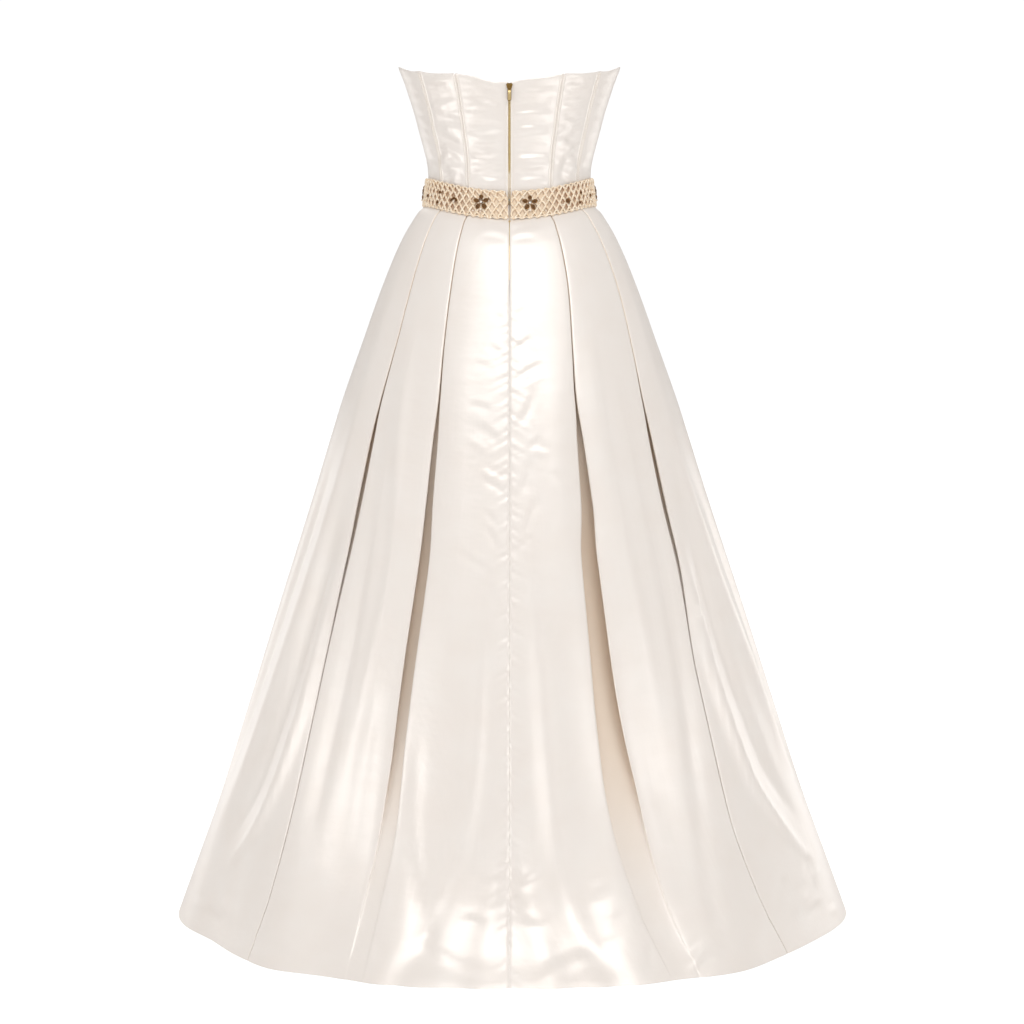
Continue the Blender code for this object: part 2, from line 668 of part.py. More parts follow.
def make_belt(cord):
    """One band round the waist, open at the centre back, whose crossing cords stand up as a lattice."""
    share = np.linspace(0, 1, LATTICE_ROWS + 1)[:, None]
    level = BELT_TOP + (BELT_BOTTOM - BELT_TOP) * share
    step = degrees_per_metre(BELT_SECTIONS, 0.0, level)
    low = along(BELT_ENDS, 1, share) * step
    high = 360 - along(BELT_ENDS, 2, share) * step
    round_it = np.linspace(0, 1, LATTICE_COLUMNS + 1)[None, :]
    angle = low + (high - low) * round_it
    levels = np.repeat(level, angle.shape[1], axis=1)
    row = np.arange(LATTICE_ROWS + 1)[:, None]
    column = np.arange(LATTICE_COLUMNS + 1)[None, :]
    crossing = (row + column) % 2 == 0
    edge = (row == 0) | (row == LATTICE_ROWS) | (column == 0) | (column == LATTICE_COLUMNS)
    relief = np.where(crossing | edge, CORD_HEIGHT, 0.0)
    outer = belt_face(angle, levels, BELT_BASE + relief)
    inner = belt_face(angle[[0, -1]], levels[[0, -1]], np.zeros_like(angle[[0, -1]]))
    relief_wall("belt", outer, inner, cord)


def on_belt(angle, level):
    """A frame on the belt's lattice: a place, and the directions right, up and out."""
    proud = BELT_BASE + CORD_HEIGHT
    spot = belt_face(np.array(angle), np.array(level), proud)
    above = belt_face(np.array(angle), np.array(level + MM), proud)
    up = (above - spot) / np.linalg.norm(above - spot)
    _, flat_out = section(BELT_SECTIONS, np.array(angle), np.array(level))
    right = np.array([flat_out[1], -flat_out[0], 0.0])
    out = np.cross(up, right)
    return spot + out * MOTIF_GAP, right, up, out


def petal_rings(petals, reach, waist_reach, centre_half):
    """A flower's outline and heights, ring by ring from its middle, as (radius, height) by turn."""
    steps = petals * 4
    turn = 2 * math.pi * np.arange(steps) / steps
    petal = np.abs(np.cos(petals / 2 * turn)) ** 0.7
    rim = waist_reach + (reach - waist_reach) * petal
    rings = (
        (np.full(steps, centre_half), np.full(steps, 2.9 * MM)),
        (np.full(steps, centre_half * 1.35), np.full(steps, 1.3 * MM)),
        ((centre_half * 1.35 + rim) / 2, (1.2 + 1.1 * petal) * MM),
        (rim, np.full(steps, 0.9 * MM)),
        (rim * 0.97, np.zeros(steps)),
    )
    return turn, rings


def dome(name, spot, right, up, out, turn, rings, crown, finish):
    """A closed dome of rings round a middle point, flat underneath."""
    steps = len(turn)
    points = [spot + out * crown]
    for radius, height in rings:
        for angle, away, rise in zip(turn, radius, height):
            points.append(spot + right * away * math.sin(angle) + up * away * math.cos(angle) + out * rise)
    points.append(spot)
    last = len(points) - 1
    faces = []
    for k in range(steps):
        following = (k + 1) % steps
        faces.append((0, 1 + k, 1 + following))
        for ring in range(len(rings) - 1):
            a = 1 + ring * steps + k
            b = 1 + ring * steps + following
            faces.append((a, b + steps, b))
            faces.append((a, a + steps, b + steps))
        base = 1 + (len(rings) - 1) * steps
        faces.append((last, base + following, base + k))
    return solid(name, points, faces, finish)


def flower(name, angle, level, finish):
    """A flower of five domed stones round a crystal, 24 mm across."""
    turn, rings = petal_rings(PETALS, FLOWER_REACH, FLOWER_WAIST, CRYSTAL_HALF)
    dome(name, *on_belt(angle, level), turn, rings, CRYSTAL_RISE, finish)


def stone(name, angle, level, half, rise, steps, finish):
    """A cut stone in its rim: a low cone with a flat top ring."""
    turn = 2 * math.pi * np.arange(steps) / steps
    rings = (
        (np.full(steps, half * 0.55), np.full(steps, rise * 0.92)),
        (np.full(steps, half), np.full(steps, rise * 0.5)),
        (np.full(steps, half * 0.95), np.zeros(steps)),
    )
    dome(name, *on_belt(angle, level), turn, rings, rise, finish)


def arch(name, angle, level, finish):
    """Three stones set in an arch: half a ring with three humps."""
    spot, right, up, out = on_belt(angle, level)
    points = []
    for share in np.linspace(0, 1, ARCH_STEPS):
        turn = math.radians(ARCH_HALF_TURN * (2 * share - 1))
        hump = abs(math.sin(math.pi * ARCH_STONES * share))
        along_it = right * math.sin(turn) + up * math.cos(turn)
        outer = ARCH_OUTER + ARCH_SWELL * hump
        height = ARCH_RISE * (1 + hump)
        points += [
            spot + along_it * ARCH_INNER,
            spot + along_it * ARCH_INNER + out * height * 0.7,
            spot + along_it * (ARCH_INNER + outer) / 2 + out * height,
            spot + along_it * outer + out * height * 0.6,
            spot + along_it * outer,
        ]
    faces = [(0, 2, 1), (0, 3, 2), (0, 4, 3)]
    for k in range(ARCH_STEPS - 1):
        for j in range(5):
            a = 5 * k + j
            b = 5 * k + (j + 1) % 5
            faces.append((a, b + 5, a + 5))
            faces.append((a, b, b + 5))
    end = 5 * (ARCH_STEPS - 1)
    faces += [(end, end + 1, end + 2), (end, end + 2, end + 3), (end, end + 3, end + 4)]
    solid(name, points, faces, finish)


def make_belt_motifs(bronze):
    """Everything that the table sews on the belt."""
    for name, form, angle, level in BELT_MOTIFS:
        if form == "flower":
            flower(name, angle, level, bronze)
        elif form == "arch":
            arch(name, angle, level, bronze)
        elif form == "round":
            stone(name, angle, level, *ROUND_STONE, bronze)
        else:
            stone(name, angle, level, *SMALL_STONE, bronze)


def zip_line(across, inset_bodice, inset_skirt):
    """Points down the centre back at a distance across it, set in from the cloth's middle surface."""
    rows = []
    under_seam = SEAM_LEVEL - DIP_BACK - 1 * MM
    for height in np.linspace(ZIP_TOP, under_seam, 7):
        angle = across * degrees_per_metre(BODICE_SECTIONS, 0.0, height)
        place, out = section(BODICE_SECTIONS, np.array(angle), np.array(height))
        rows.append([*(place - out * inset_bodice), height])
    for level in (-0.0015, -0.014, -0.045, ZIP_END_LEVEL):
        angle = across * degrees_per_metre(SKIRT_SECTIONS, 0.0, level)
        place, out = section(SKIRT_SECTIONS, np.array(angle), np.array(level))
        rows.append([*(place - out * inset_skirt), level + waist_dip(0.0, level)])
    return np.array(rows)


def strip(name, left, right, inset_bodice, inset_skirt, thick, finish):
    """A flat strip down the centre back, between two distances across it."""
    outer = np.stack([zip_line(x, inset_bodice, inset_skirt) for x in (left, right)], axis=1)
    inner = np.stack(
        [zip_line(x, inset_bodice + thick, inset_skirt + thick) for x in (left, right)], axis=1)
    return wall(name, outer, inner, finish)


def make_zip(tape, brass):
    """Two tapes behind the cloth, the closed chain between its edges, the slider and its pull."""
    tape_in_bodice = BODICE_WALL / 2 + SEAM_GAP
    tape_in_skirt = SKIRT_WALL / 2 + 2 * SEAM_GAP + CHAIN_THICK
    chain_in_bodice = BODICE_WALL / 2 - CHAIN_THICK
    chain_in_skirt = SKIRT_WALL / 2 + SEAM_GAP
    strip("zip_tape_L", TAPE_INNER, TAPE_OUTER, tape_in_bodice, tape_in_skirt, TAPE_WALL, tape)
    strip("zip_tape_R", -TAPE_OUTER, -TAPE_INNER, tape_in_bodice, tape_in_skirt, TAPE_WALL, tape)
    strip("zip_chain", -CHAIN_HALF, CHAIN_HALF, chain_in_bodice, chain_in_skirt, CHAIN_THICK, brass)
    make_slider(brass)
    make_pull(brass)


def back_surface(height):
    """The y of the bodice's middle surface at the centre back."""
    return float(along(BODICE_SECTIONS, 2, height))


def slider_face():
    """The y of the slider's outer face at its hinge, and how far it leans out for each metre up."""
    foot = back_surface(ZIP_TOP - SLIDER_HEIGHT)
    lean = (back_surface(ZIP_TOP) - foot) / SLIDER_HEIGHT
    proud = CHAIN_THICK - BODICE_WALL / 2 + SEAM_GAP + SLIDER_THICK
    return back_surface(ZIP_TOP - HINGE_BELOW_TOP) + proud, lean


def bar(name, corners, finish):
    """A closed prism between two outlines of the same number of points, each given in order."""
    first, second = corners
    count = len(first)
    points = list(first) + list(second)
    faces = [tuple(range(count - 1, -1, -1)), tuple(range(count, 2 * count))]
    for k in range(count):
        following = (k + 1) % count
        faces.append((k, following, following + count, k + count))
    return solid(name, points, faces, finish, sharp_from=30)


def make_slider(brass):
    """The slider's plate with the bridge that its pull hangs in."""
    face, lean = slider_face()
    hinge_height = ZIP_TOP - HINGE_BELOW_TOP
    half_top = SLIDER_WIDTH / 2
    half_foot = SLIDER_FOOT / 2
    corner = SLIDER_CORNER
    outline = (
        (-half_top + corner, HINGE_BELOW_TOP),
        (half_top - corner, HINGE_BELOW_TOP),
        (half_top, HINGE_BELOW_TOP - corner),
        (half_foot, HINGE_BELOW_TOP - SLIDER_HEIGHT + corner),
        (half_foot - corner, HINGE_BELOW_TOP - SLIDER_HEIGHT),
        (-half_foot + corner, HINGE_BELOW_TOP - SLIDER_HEIGHT),
        (-half_foot, HINGE_BELOW_TOP - SLIDER_HEIGHT + corner),
        (-half_top, HINGE_BELOW_TOP - corner),
    )
    back = [(x, face + lean * up - SLIDER_THICK, hinge_height + up) for x, up in outline]
    front = [(x, face + lean * up, hinge_height + up) for x, up in outline]
    plate = bar("zip_slider", (back, front), brass)
    cut = BRIDGE_SUNK
    side = (
        (-BRIDGE_OUTER, -BRIDGE_SUNK), (-BRIDGE_OUTER, BRIDGE_RISE - cut),
        (-BRIDGE_OUTER + cut, BRIDGE_RISE), (BRIDGE_OUTER - cut, BRIDGE_RISE),
        (BRIDGE_OUTER, BRIDGE_RISE - cut), (BRIDGE_OUTER, -BRIDGE_SUNK),
        (BRIDGE_INNER, -BRIDGE_SUNK), (BRIDGE_INNER, BRIDGE_CLEAR),
        (-BRIDGE_INNER, BRIDGE_CLEAR), (-BRIDGE_INNER, -BRIDGE_SUNK),
    )
    left = [(-BRIDGE_HALF, face + lean * up + out, hinge_height + up) for up, out in side]
    right = [(BRIDGE_HALF, face + lean * up + out, hinge_height + up) for up, out in side]
    bridge = bar("zip_bridge", (right, left), brass)
    join = plate.modifiers.new("bridge", "BOOLEAN")
    join.operation = "UNION"
    join.object = bridge
    bridge.hide_render = True
    bridge.display_type = "WIRE"


def make_pull(brass):
    """A flat pull with a square eye, hung on the slider's bridge. Its origin is on its hinge."""
    face, _ = slider_face()
    hinge = (0.0, face + HINGE_OUT, ZIP_TOP - HINGE_BELOW_TOP)
    top = PULL_THICK / 2
    corner = 1.2 * MM
    outline = (
        (-PULL_HALF + 0.5 * MM, top), (PULL_HALF - 0.5 * MM, top), (PULL_HALF, top - 0.5 * MM),
        (PULL_HALF, -PULL_LENGTH + corner), (PULL_HALF - corner, -PULL_LENGTH),
        (-PULL_HALF + corner, -PULL_LENGTH), (-PULL_HALF, -PULL_LENGTH + corner),
        (-PULL_HALF, top - 0.5 * MM),
    )
    back = [(x, -PULL_THICK / 2, up) for x, up in outline]
    front = [(x, PULL_THICK / 2, up) for x, up in outline]
    pull = bar("zip_pull", (back, front), brass)
    pull.location = hinge
    low = -top - EYE_LENGTH
    eye = ((-EYE_HALF, -top), (EYE_HALF, -top), (EYE_HALF, low), (-EYE_HALF, low))
    hole_back = [(x, -PULL_THICK, up) for x, up in eye]
    hole_front = [(x, PULL_THICK, up) for x, up in eye]
    hole = bar("zip_pull_eye", (hole_back, hole_front), brass)
    hole.location = hinge
    hole.hide_render = True
    hole.display_type = "WIRE"
    cut = pull.modifiers.new("eye", "BOOLEAN")
    cut.operation = "DIFFERENCE"
    cut.object = hole


def make_hook(steel):
    """The small hook that holds the two ends of the belt together."""
    level = BELT_TOP + (BELT_BOTTOM - BELT_TOP) * HOOK_SHARE
    inside = belt_face(np.array(0.0), np.array(level), HOOK_BACK)
    outside = belt_face(np.array(0.0), np.array(level), HOOK_FRONT)
    half = HOOK_HALF
    ends = ((-half, -HOOK_TALL), (half, -HOOK_TALL), (half, HOOK_TALL), (-half, HOOK_TALL))
    back = [(x, inside[1], inside[2] + up) for x, up in ends]
    front = [(x, outside[1], outside[2] + up) for x, up in ends]
    bar("belt_hook", (front, back), steel)


def clear_scene():
    """An empty file to model in."""
    for old in list(bpy.data.objects):
        bpy.data.objects.remove(old, do_unlink=True)


def main():
    clear_scene()
    satin = material("ivory_satin", (0.90, 0.85, 0.78), 0.42)
    cord = material("beaded_cord", (0.84, 0.70, 0.52), 0.55)
    bronze = material("bronze_stone", (0.20, 0.13, 0.08), 0.25, 0.6)
    tape = material("zip_tape", (0.86, 0.80, 0.70), 0.8)
    brass = material("zip_brass", (0.62, 0.47, 0.22), 0.3, 1.0)
    steel = material("hook_steel", (0.55, 0.56, 0.52), 0.35, 1.0)
    make_bodice(satin)
    make_skirt(satin)
    make_belt(cord)
    make_belt_motifs(bronze)
    make_zip(tape, brass)
    make_hook(steel)


main()
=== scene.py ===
# %% [markdown]
# # A strapless satin ball gown, seen from behind
#
# The gown stands filled out, with nobody in it: a boned bodice of nine panels, a jewelled belt, a floor
# length skirt with eight inverted box pleats and a brass zip down the centre back. Everything here is a
# surface worked out with numpy. A piece of cloth is a function of two numbers, the angle round the body
# and the level down it, so one small table of sizes moves every point of it.

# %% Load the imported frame
import math

import bpy
import numpy as np
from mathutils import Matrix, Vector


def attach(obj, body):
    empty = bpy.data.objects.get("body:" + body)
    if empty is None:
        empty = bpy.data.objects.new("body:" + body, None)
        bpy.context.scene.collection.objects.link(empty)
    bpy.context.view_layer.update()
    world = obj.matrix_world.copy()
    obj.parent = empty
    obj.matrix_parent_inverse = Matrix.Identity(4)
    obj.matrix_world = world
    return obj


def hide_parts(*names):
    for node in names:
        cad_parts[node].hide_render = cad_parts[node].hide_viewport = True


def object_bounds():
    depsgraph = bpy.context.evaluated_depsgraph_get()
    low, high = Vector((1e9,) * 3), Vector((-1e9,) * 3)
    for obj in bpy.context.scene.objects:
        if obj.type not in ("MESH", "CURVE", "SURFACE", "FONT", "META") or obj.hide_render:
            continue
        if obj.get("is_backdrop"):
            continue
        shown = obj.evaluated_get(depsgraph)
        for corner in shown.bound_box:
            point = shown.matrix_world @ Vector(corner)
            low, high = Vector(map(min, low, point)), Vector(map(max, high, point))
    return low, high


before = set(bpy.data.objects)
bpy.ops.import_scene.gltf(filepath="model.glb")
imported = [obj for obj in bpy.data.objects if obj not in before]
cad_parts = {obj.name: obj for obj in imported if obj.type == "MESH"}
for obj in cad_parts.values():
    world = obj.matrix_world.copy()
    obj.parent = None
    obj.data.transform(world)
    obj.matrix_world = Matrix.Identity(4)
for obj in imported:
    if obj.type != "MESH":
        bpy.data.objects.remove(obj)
cad_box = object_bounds()

# %% [markdown]
# ## Two helpers for colour and materials
#
# Hex colours are how people write what they see on a screen, but a renderer adds up light, so each one is
# turned to linear numbers by a single function. Materials are little graphs of nodes. One function adds a
# node with its settings, its values and the links that come into it, which keeps every recipe short.

# %% Colour and node helpers
MM = 0.001


def linear(code):
    """sRGB hex to linear light: c / 12.92 when dark, else ((c + 0.055) / 1.055) to the power 2.4."""
    shown = np.array([int(code[start:start + 2], 16) for start in (1, 3, 5)]) / 255
    light = np.where(shown <= 0.04045, shown / 12.92, ((shown + 0.055) / 1.055) ** 2.4)
    return (*light.tolist(), 1.0)


def add(material, kind, values=None, links=None, **settings):
    """Adds one shader node, sets its properties and input values, and links outputs into its inputs."""
    made = material.node_tree.nodes.new("ShaderNode" + kind)
    for name, value in settings.items():
        setattr(made, name, value)
    for name, value in (values or {}).items():
        made.inputs[name].default_value = value
    for name, source in (links or {}).items():
        material.node_tree.links.new(source, made.inputs[name])
    return made


def surface(name, values, links=None):
    """A new material: one Principled shader with these values, and its output."""
    made = bpy.data.materials.new(name)
    made.use_nodes = True
    made.node_tree.nodes.clear()
    shader = add(made, "BsdfPrincipled", values, links)
    add(made, "OutputMaterial", links={"Surface": shader.outputs["BSDF"]})
    made.diffuse_color = values["Base Color"]
    return made, shader


def feed(material, shader, **links):
    """Links outputs into the shader's inputs; an underscore in a name stands for a space."""
    for name, source in links.items():
        material.node_tree.links.new(source, shader.inputs[name.replace("_", " ")])


def mottled(material, size, dark, light, detail=2.0):
    """Noise of a size in Object space, and the colour that it mixes from a dark and a light one."""
    place = add(material, "TexCoord")
    noise = add(material, "TexNoise", {"Scale": 1 / size, "Detail": detail},
                {"Vector": place.outputs["Object"]})
    tone = add(material, "Mix", {6: linear(dark), 7: linear(light)}, {0: noise.outputs["Fac"]},
               data_type="RGBA")
    return noise.outputs["Fac"], tone.outputs[2]


print("ivory as linear light:", [round(value, 3) for value in linear("#F3EBE2")])

# %% [markdown]
# ## Meshes from whole arrays
#
# A grid of points has a row and a column for each point. Its faces are the little squares between
# neighbours, and they all come from one array of indices, with no loop over the points. Cloth is a closed
# shell: an outer grid, an inner grid a fraction of a millimetre behind it, and a rim all round.

# %% Mesh helpers
def grid_quads(rows, columns, start=0, flipped=False):
    """Corner indices of the squares of a grid, facing the side from which columns run clockwise."""
    index = start + np.arange(rows * columns).reshape(rows, columns)
    quads = np.stack([index[:-1, :-1], index[:-1, 1:], index[1:, 1:], index[1:, :-1]], axis=-1)
    quads = quads.reshape(-1, 4)
    return quads[:, ::-1] if flipped else quads


def piece(name, points, faces, finish, uv=None, shades=None, sharp_from=50, body="gown", slot=None):
    """A finished mesh that rides on a body. faces is a list of index arrays, one row for each face."""
    points = np.asarray(points, dtype=np.float32).reshape(-1, 3)
    corners = np.concatenate([group.reshape(-1) for group in faces]).astype(np.int32)
    sizes = np.concatenate([np.full(len(group), group.shape[1]) for group in faces])
    mesh = bpy.data.meshes.new(name)
    mesh.vertices.add(len(points))
    mesh.vertices.foreach_set("co", points.reshape(-1))
    mesh.loops.add(len(corners))
    mesh.loops.foreach_set("vertex_index", corners)
    mesh.polygons.add(len(sizes))
    mesh.polygons.foreach_set("loop_start", np.concatenate([[0], np.cumsum(sizes)[:-1]]).astype(np.int32))
    mesh.update(calc_edges=True)
    if uv is not None:
        layer = mesh.uv_layers.new(name="cut")
        layer.data.foreach_set("uv", np.asarray(uv, dtype=np.float32).reshape(-1, 2)[corners].reshape(-1))
    if shades is not None:
        attribute = mesh.attributes.new("shade", "FLOAT", "POINT")
        attribute.data.foreach_set("value", np.asarray(shades, dtype=np.float32).reshape(-1))
    mesh.materials.append(finish)
    mesh.shade_smooth()
    mesh.set_sharp_from_angle(angle=math.radians(sharp_from))
    made = bpy.data.objects.new(name, mesh)
    bpy.context.scene.collection.objects.link(made)
    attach(made, body)
    return made


def triangles(made):
    """How many triangles a piece's faces make."""
    return sum(len(polygon.vertices) - 2 for polygon in made.data.polygons)


def outward(points):
    """The unit normal of a grid whose rows run down and whose columns run with the angle."""
    def tangent(axis):
        step = np.diff(points, axis=axis)
        step = step / np.maximum(np.linalg.norm(step, axis=-1, keepdims=True), 1e-12)
        first = np.take(step, [0], axis=axis)
        last = np.take(step, [-1], axis=axis)
        return np.concatenate([first, step], axis=axis) + np.concatenate([step, last], axis=axis)

    normal = np.cross(tangent(1), tangent(0))
    return normal / np.maximum(np.linalg.norm(normal, axis=-1, keepdims=True), 1e-12)


def rim_quads(rows, columns, inner_start):
    """The edge all round between an outer grid and the inner grid that starts at an index."""
    index = np.arange(rows * columns).reshape(rows, columns)
    loop = np.concatenate([index[0, :-1], index[:-1, -1], index[-1, :0:-1], index[:0:-1, 0]])
    following = np.roll(loop, -1)
    return np.stack([following, loop, loop + inner_start, following + inner_start], axis=-1)


def lengths(points, axis):
    """Running length along one axis of a grid of points, starting from 0."""
    step = np.linalg.norm(np.diff(points, axis=axis), axis=-1)
    return np.insert(np.cumsum(step, axis=axis), 0, 0, axis=axis)


CLOTH = 0.8 * MM


def cloth(name, middle, lift, finish, thick=CLOTH, shades=None):
    """A closed shell of cloth whose outer face stands lift metres proud of a middle grid.

    Its UV map is in metres: the length along each row, then the length down each column.
    """
    rows, columns = middle.shape[:2]
    normal = outward(middle)
    outer = middle + normal * np.asarray(lift)[..., None]
    inner = outer - normal * thick
    for face in (outer, inner):
        face[0, :, 2] = middle[0, :, 2]
        face[-1, :, 2] = middle[-1, :, 2]
    faces = [
        grid_quads(rows, columns),
        grid_quads(rows, columns, rows * columns, flipped=True),
        rim_quads(rows, columns, rows * columns),
    ]
    across = lengths(outer, 1)
    across = across - across[:, columns // 2:columns // 2 + 1]
    cut = np.stack([across, -lengths(outer, 0)], axis=-1)
    both = np.concatenate([outer.reshape(-1, 3), inner.reshape(-1, 3)])
    uv = np.concatenate([cut.reshape(-1, 2)] * 2)
    if shades is None:
        shades = np.zeros(middle.shape[:2])
    made = piece(name, both, faces, finish, uv=uv, shades=np.concatenate([shades] * 2), slot="satin")
    return made


# %% [markdown]
# ## The shape of the body of cloth
#
# A dressmaker's form is a stack of ovals. Each table row is one level with half its width and its depth to
# the back and to the front, and a curve that never overshoots joins the rows. Angles run in degrees from
# the centre back (0) through the wearer's left (90) to the centre front (180), and levels are metres
# above the waist. These are the same tables that the gown's solids are cut from.

# %% Sections of bodice, skirt and belt
HEM_LEVEL = -1.055
SEAM_LEVEL = 0.019
SEAM_GAP = 0.3 * MM
BODICE_WALL = 1.5 * MM
SKIRT_WALL = 1.2 * MM
DIP_BACK = 26.7 * MM
DIP_FRONT = 6.0 * MM
DIP_ENDS_LEVEL = -0.32

# level, half width, depth at the back, depth at the front
BODICE_SECTIONS = (
    (-0.010, 0.1183, 0.0933, 0.0945),
    (0.019, 0.1193, 0.0943, 0.0960),
    (0.050, 0.1206, 0.0962, 0.1040),
    (0.062, 0.1221, 0.0970, 0.1090),
    (0.085, 0.1273, 0.0988, 0.1190),
    (0.109, 0.1339, 0.1008, 0.1280),
    (0.132, 0.1398, 0.1030, 0.1340),
    (0.156, 0.1472, 0.1052, 0.1370),
    (0.180, 0.1553, 0.1072, 0.1365),
    (0.210, 0.1670, 0.1090, 0.1320),
)

# level, half width, depth at the back, depth at the front
SKIRT_SECTIONS = (
    (0.019, 0.1229, 0.0970, 0.0980),
    (-0.0015, 0.1258, 0.1010, 0.1015),
    (-0.0094, 0.1343, 0.1080, 0.1070),
    (-0.0212, 0.1425, 0.1150, 0.1130),
    (-0.0450, 0.1567, 0.1260, 0.1225),
    (-0.0806, 0.1733, 0.1380, 0.1335),
    (-0.1400, 0.1966, 0.1550, 0.1500),
    (-0.1996, 0.2178, 0.1710, 0.1665),
    (-0.2892, 0.2496, 0.1960, 0.1920),
    (-0.4392, 0.2968, 0.2360, 0.2340),
    (-0.5900, 0.3458, 0.2760, 0.2760),
    (-0.7416, 0.3943, 0.3155, 0.3175),
    (-0.8940, 0.4438, 0.3560, 0.3610),
    (-0.9550, 0.4660, 0.3790, 0.3820),
    (-1.0166, 0.4887, 0.4160, 0.4020),
    (-1.0550, 0.5025, 0.4510, 0.4180),
)

# level, half width, depth at the back, depth at the front
BELT_SECTIONS = (
    (-0.0015, 0.1269, 0.1021, 0.1026),
    (0.0394, 0.1222, 0.0975, 0.1036),
)


def along(table, column, at):
    """One column of a table at a level or angle: a cubic through its rows with harmonic mean slopes."""
    rows = np.array(sorted(table))
    x = rows[:, 0]
    y = rows[:, column]
    slope = np.diff(y) / np.diff(x)
    before = slope[:-1]
    after = slope[1:]
    same_way = before * after > 0
    inside = np.where(same_way, 2 * before * after / np.where(same_way, before + after, 1), 0)
    tangent = np.concatenate([slope[:1], inside, slope[-1:]])
    at = np.clip(at, x[0], x[-1])
    cell = np.clip(np.searchsorted(x, at) - 1, 0, len(x) - 2)
    width = x[cell + 1] - x[cell]
    t = (at - x[cell]) / width
    start = (1 + 2 * t) * (1 - t) ** 2 * y[cell] + t * (1 - t) ** 2 * width * tangent[cell]
    end = t * t * (3 - 2 * t) * y[cell + 1] + t * t * (t - 1) * width * tangent[cell + 1]
    return start + end


def smooth(value):
    """0 below 0, 1 above 1, and t * t * (3 - 2 t) between."""
    value = np.clip(value, 0, 1)
    return value * value * (3 - 2 * value)


def waist_dip(angle, level):
    """How far the waist sinks: its deepest at the centre back, times cosine squared, fading with level."""
    cosine = np.cos(np.radians(angle))
    deepest = np.where(cosine > 0, DIP_BACK, DIP_FRONT)
    share = smooth((level - DIP_ENDS_LEVEL) / (SEAM_LEVEL - DIP_ENDS_LEVEL))
    return -deepest * cosine ** 2 * share


def section(table, angle, level):
    """Where the half ovals lie at an angle, and the horizontal direction straight out of them."""
    turn = np.radians(angle)
    half = along(table, 1, level)
    depth = np.where(np.cos(turn) > 0, along(table, 2, level), along(table, 3, level))
    place = np.stack([half * np.sin(turn), depth * np.cos(turn)], axis=-1)
    out = np.stack([np.sin(turn) / half, np.cos(turn) / depth], axis=-1)
    return place, out / np.linalg.norm(out, axis=-1, keepdims=True)


def degrees_per_metre(table, angle, level):
    """Turns a length round an oval into degrees at an angle."""
    turn = np.radians(angle)
    half = along(table, 1, level)
    depth = np.where(np.cos(turn) > 0, along(table, 2, level), along(table, 3, level))
    return np.degrees(1 / np.hypot(half * np.cos(turn), depth * np.sin(turn)))


def turned(angle):
    """The same angle between -180 and 180 degrees."""
    return (angle + 180) % 360 - 180


hem_round = lengths(section(SKIRT_SECTIONS, np.linspace(0, 360, 721), HEM_LEVEL)[0][None], 1)[0, -1]
print(f"the hem is {hem_round:.2f} m round")

# %% [markdown]
# ## Duchess satin
#
# Duchess satin is woven so that long warp threads float on its face. They lie side by side like brushed
# metal, so light runs along them: soft broad highlights that stretch across the threads, and a grey beige
# where the cloth turns away. A Principled shader gives that with a middling roughness, some anisotropy
# along the UV map and a low metallic share. The threads lie about 0.15 mm apart, far finer than a pixel,
# so the weave is drawn ten times coarser and very faint, as the slubs that a real bolt shows. Two wider
# kinds of unevenness lie under it: streaks that hang down the cloth, and soft buckles across it. In the
# pleats' valleys and on the layers under the folds the colour is painted a warmer beige, as painted shade,
# and an attribute named shade says how much.

# %% Satin
# Sizes across the threads and along them.
SLUBS = (1.5 * MM, 24 * MM)
BUCKLES = (45 * MM, 22 * MM)
STREAKS = (11 * MM, 240 * MM)
CLOUD = 60 * MM


def satin_finish():
    """Ivory satin: the colour drifts a little, has painted shade in the pleats and under folds, and has
    slubs.
    """
    made, shader = surface("duchess_satin", {
        "Base Color": linear("#F4EEE8"),
        "Metallic": 0.18,
        "Roughness": 0.34,
        "IOR": 1.5,
        "Specular IOR Level": 0.6,
        "Anisotropic": 0.45,
        "Anisotropic Rotation": 0.0,
    })
    cut = add(made, "UVMap", uv_map="cut")

    def woven(sizes, detail=2.0, roughness=0.5):
        """Noise on the cut cloth, of one size across the threads and another along them."""
        across, down = sizes
        scaled = add(made, "Mapping", {"Scale": (1 / across, 1 / down, 1)}, {"Vector": cut.outputs["UV"]})
        noise = add(made, "TexNoise", {"Scale": 1.0, "Detail": detail, "Roughness": roughness},
                    {"Vector": scaled.outputs["Vector"]})
        return noise.outputs["Fac"]

    slubs = woven(SLUBS, 3.0, 0.6)
    clouds = add(made, "TexNoise", {"Scale": 1 / CLOUD, "Detail": 2.0, "Roughness": 0.5},
                 {"Vector": cut.outputs["UV"]})
    tone = add(made, "Mix", {6: linear("#F6F1EC"), 7: linear("#F2EAE3")}, {0: clouds.outputs["Fac"]},
               data_type="RGBA")
    # Painted shade: the shade attribute mixes the pleats' valleys and under-fold layers towards a warm beige.
    painted_shade = add(made, "Attribute", attribute_name="shade")
    warm = add(made, "Mix", {7: linear("#E6C8A2")}, {0: painted_shade.outputs["Fac"], 6: tone.outputs[2]},
               data_type="RGBA")
    gloss = add(made, "MapRange", {"From Min": 0.3, "From Max": 0.7, "To Min": 0.32, "To Max": 0.36},
                {"Value": slubs})
    uneven = add(made, "Bump", {"Strength": 0.4, "Distance": 1.2 * MM}, {"Height": woven(BUCKLES)})
    hung = add(made, "Bump", {"Strength": 0.35, "Distance": 0.5 * MM},
               {"Height": woven(STREAKS), "Normal": uneven.outputs["Normal"]})
    weave = add(made, "Bump", {"Strength": 0.06, "Distance": 0.1 * MM},
                {"Height": slubs, "Normal": hung.outputs["Normal"]})
    warp = add(made, "Tangent", direction_type="UV_MAP", uv_map="cut")
    feed(made, shader, Base_Color=warm.outputs[2], Roughness=gloss.outputs["Result"],
         Normal=weave.outputs["Normal"], Tangent=warp.outputs["Tangent"])
    return made


satin = satin_finish()
print("satin ready")
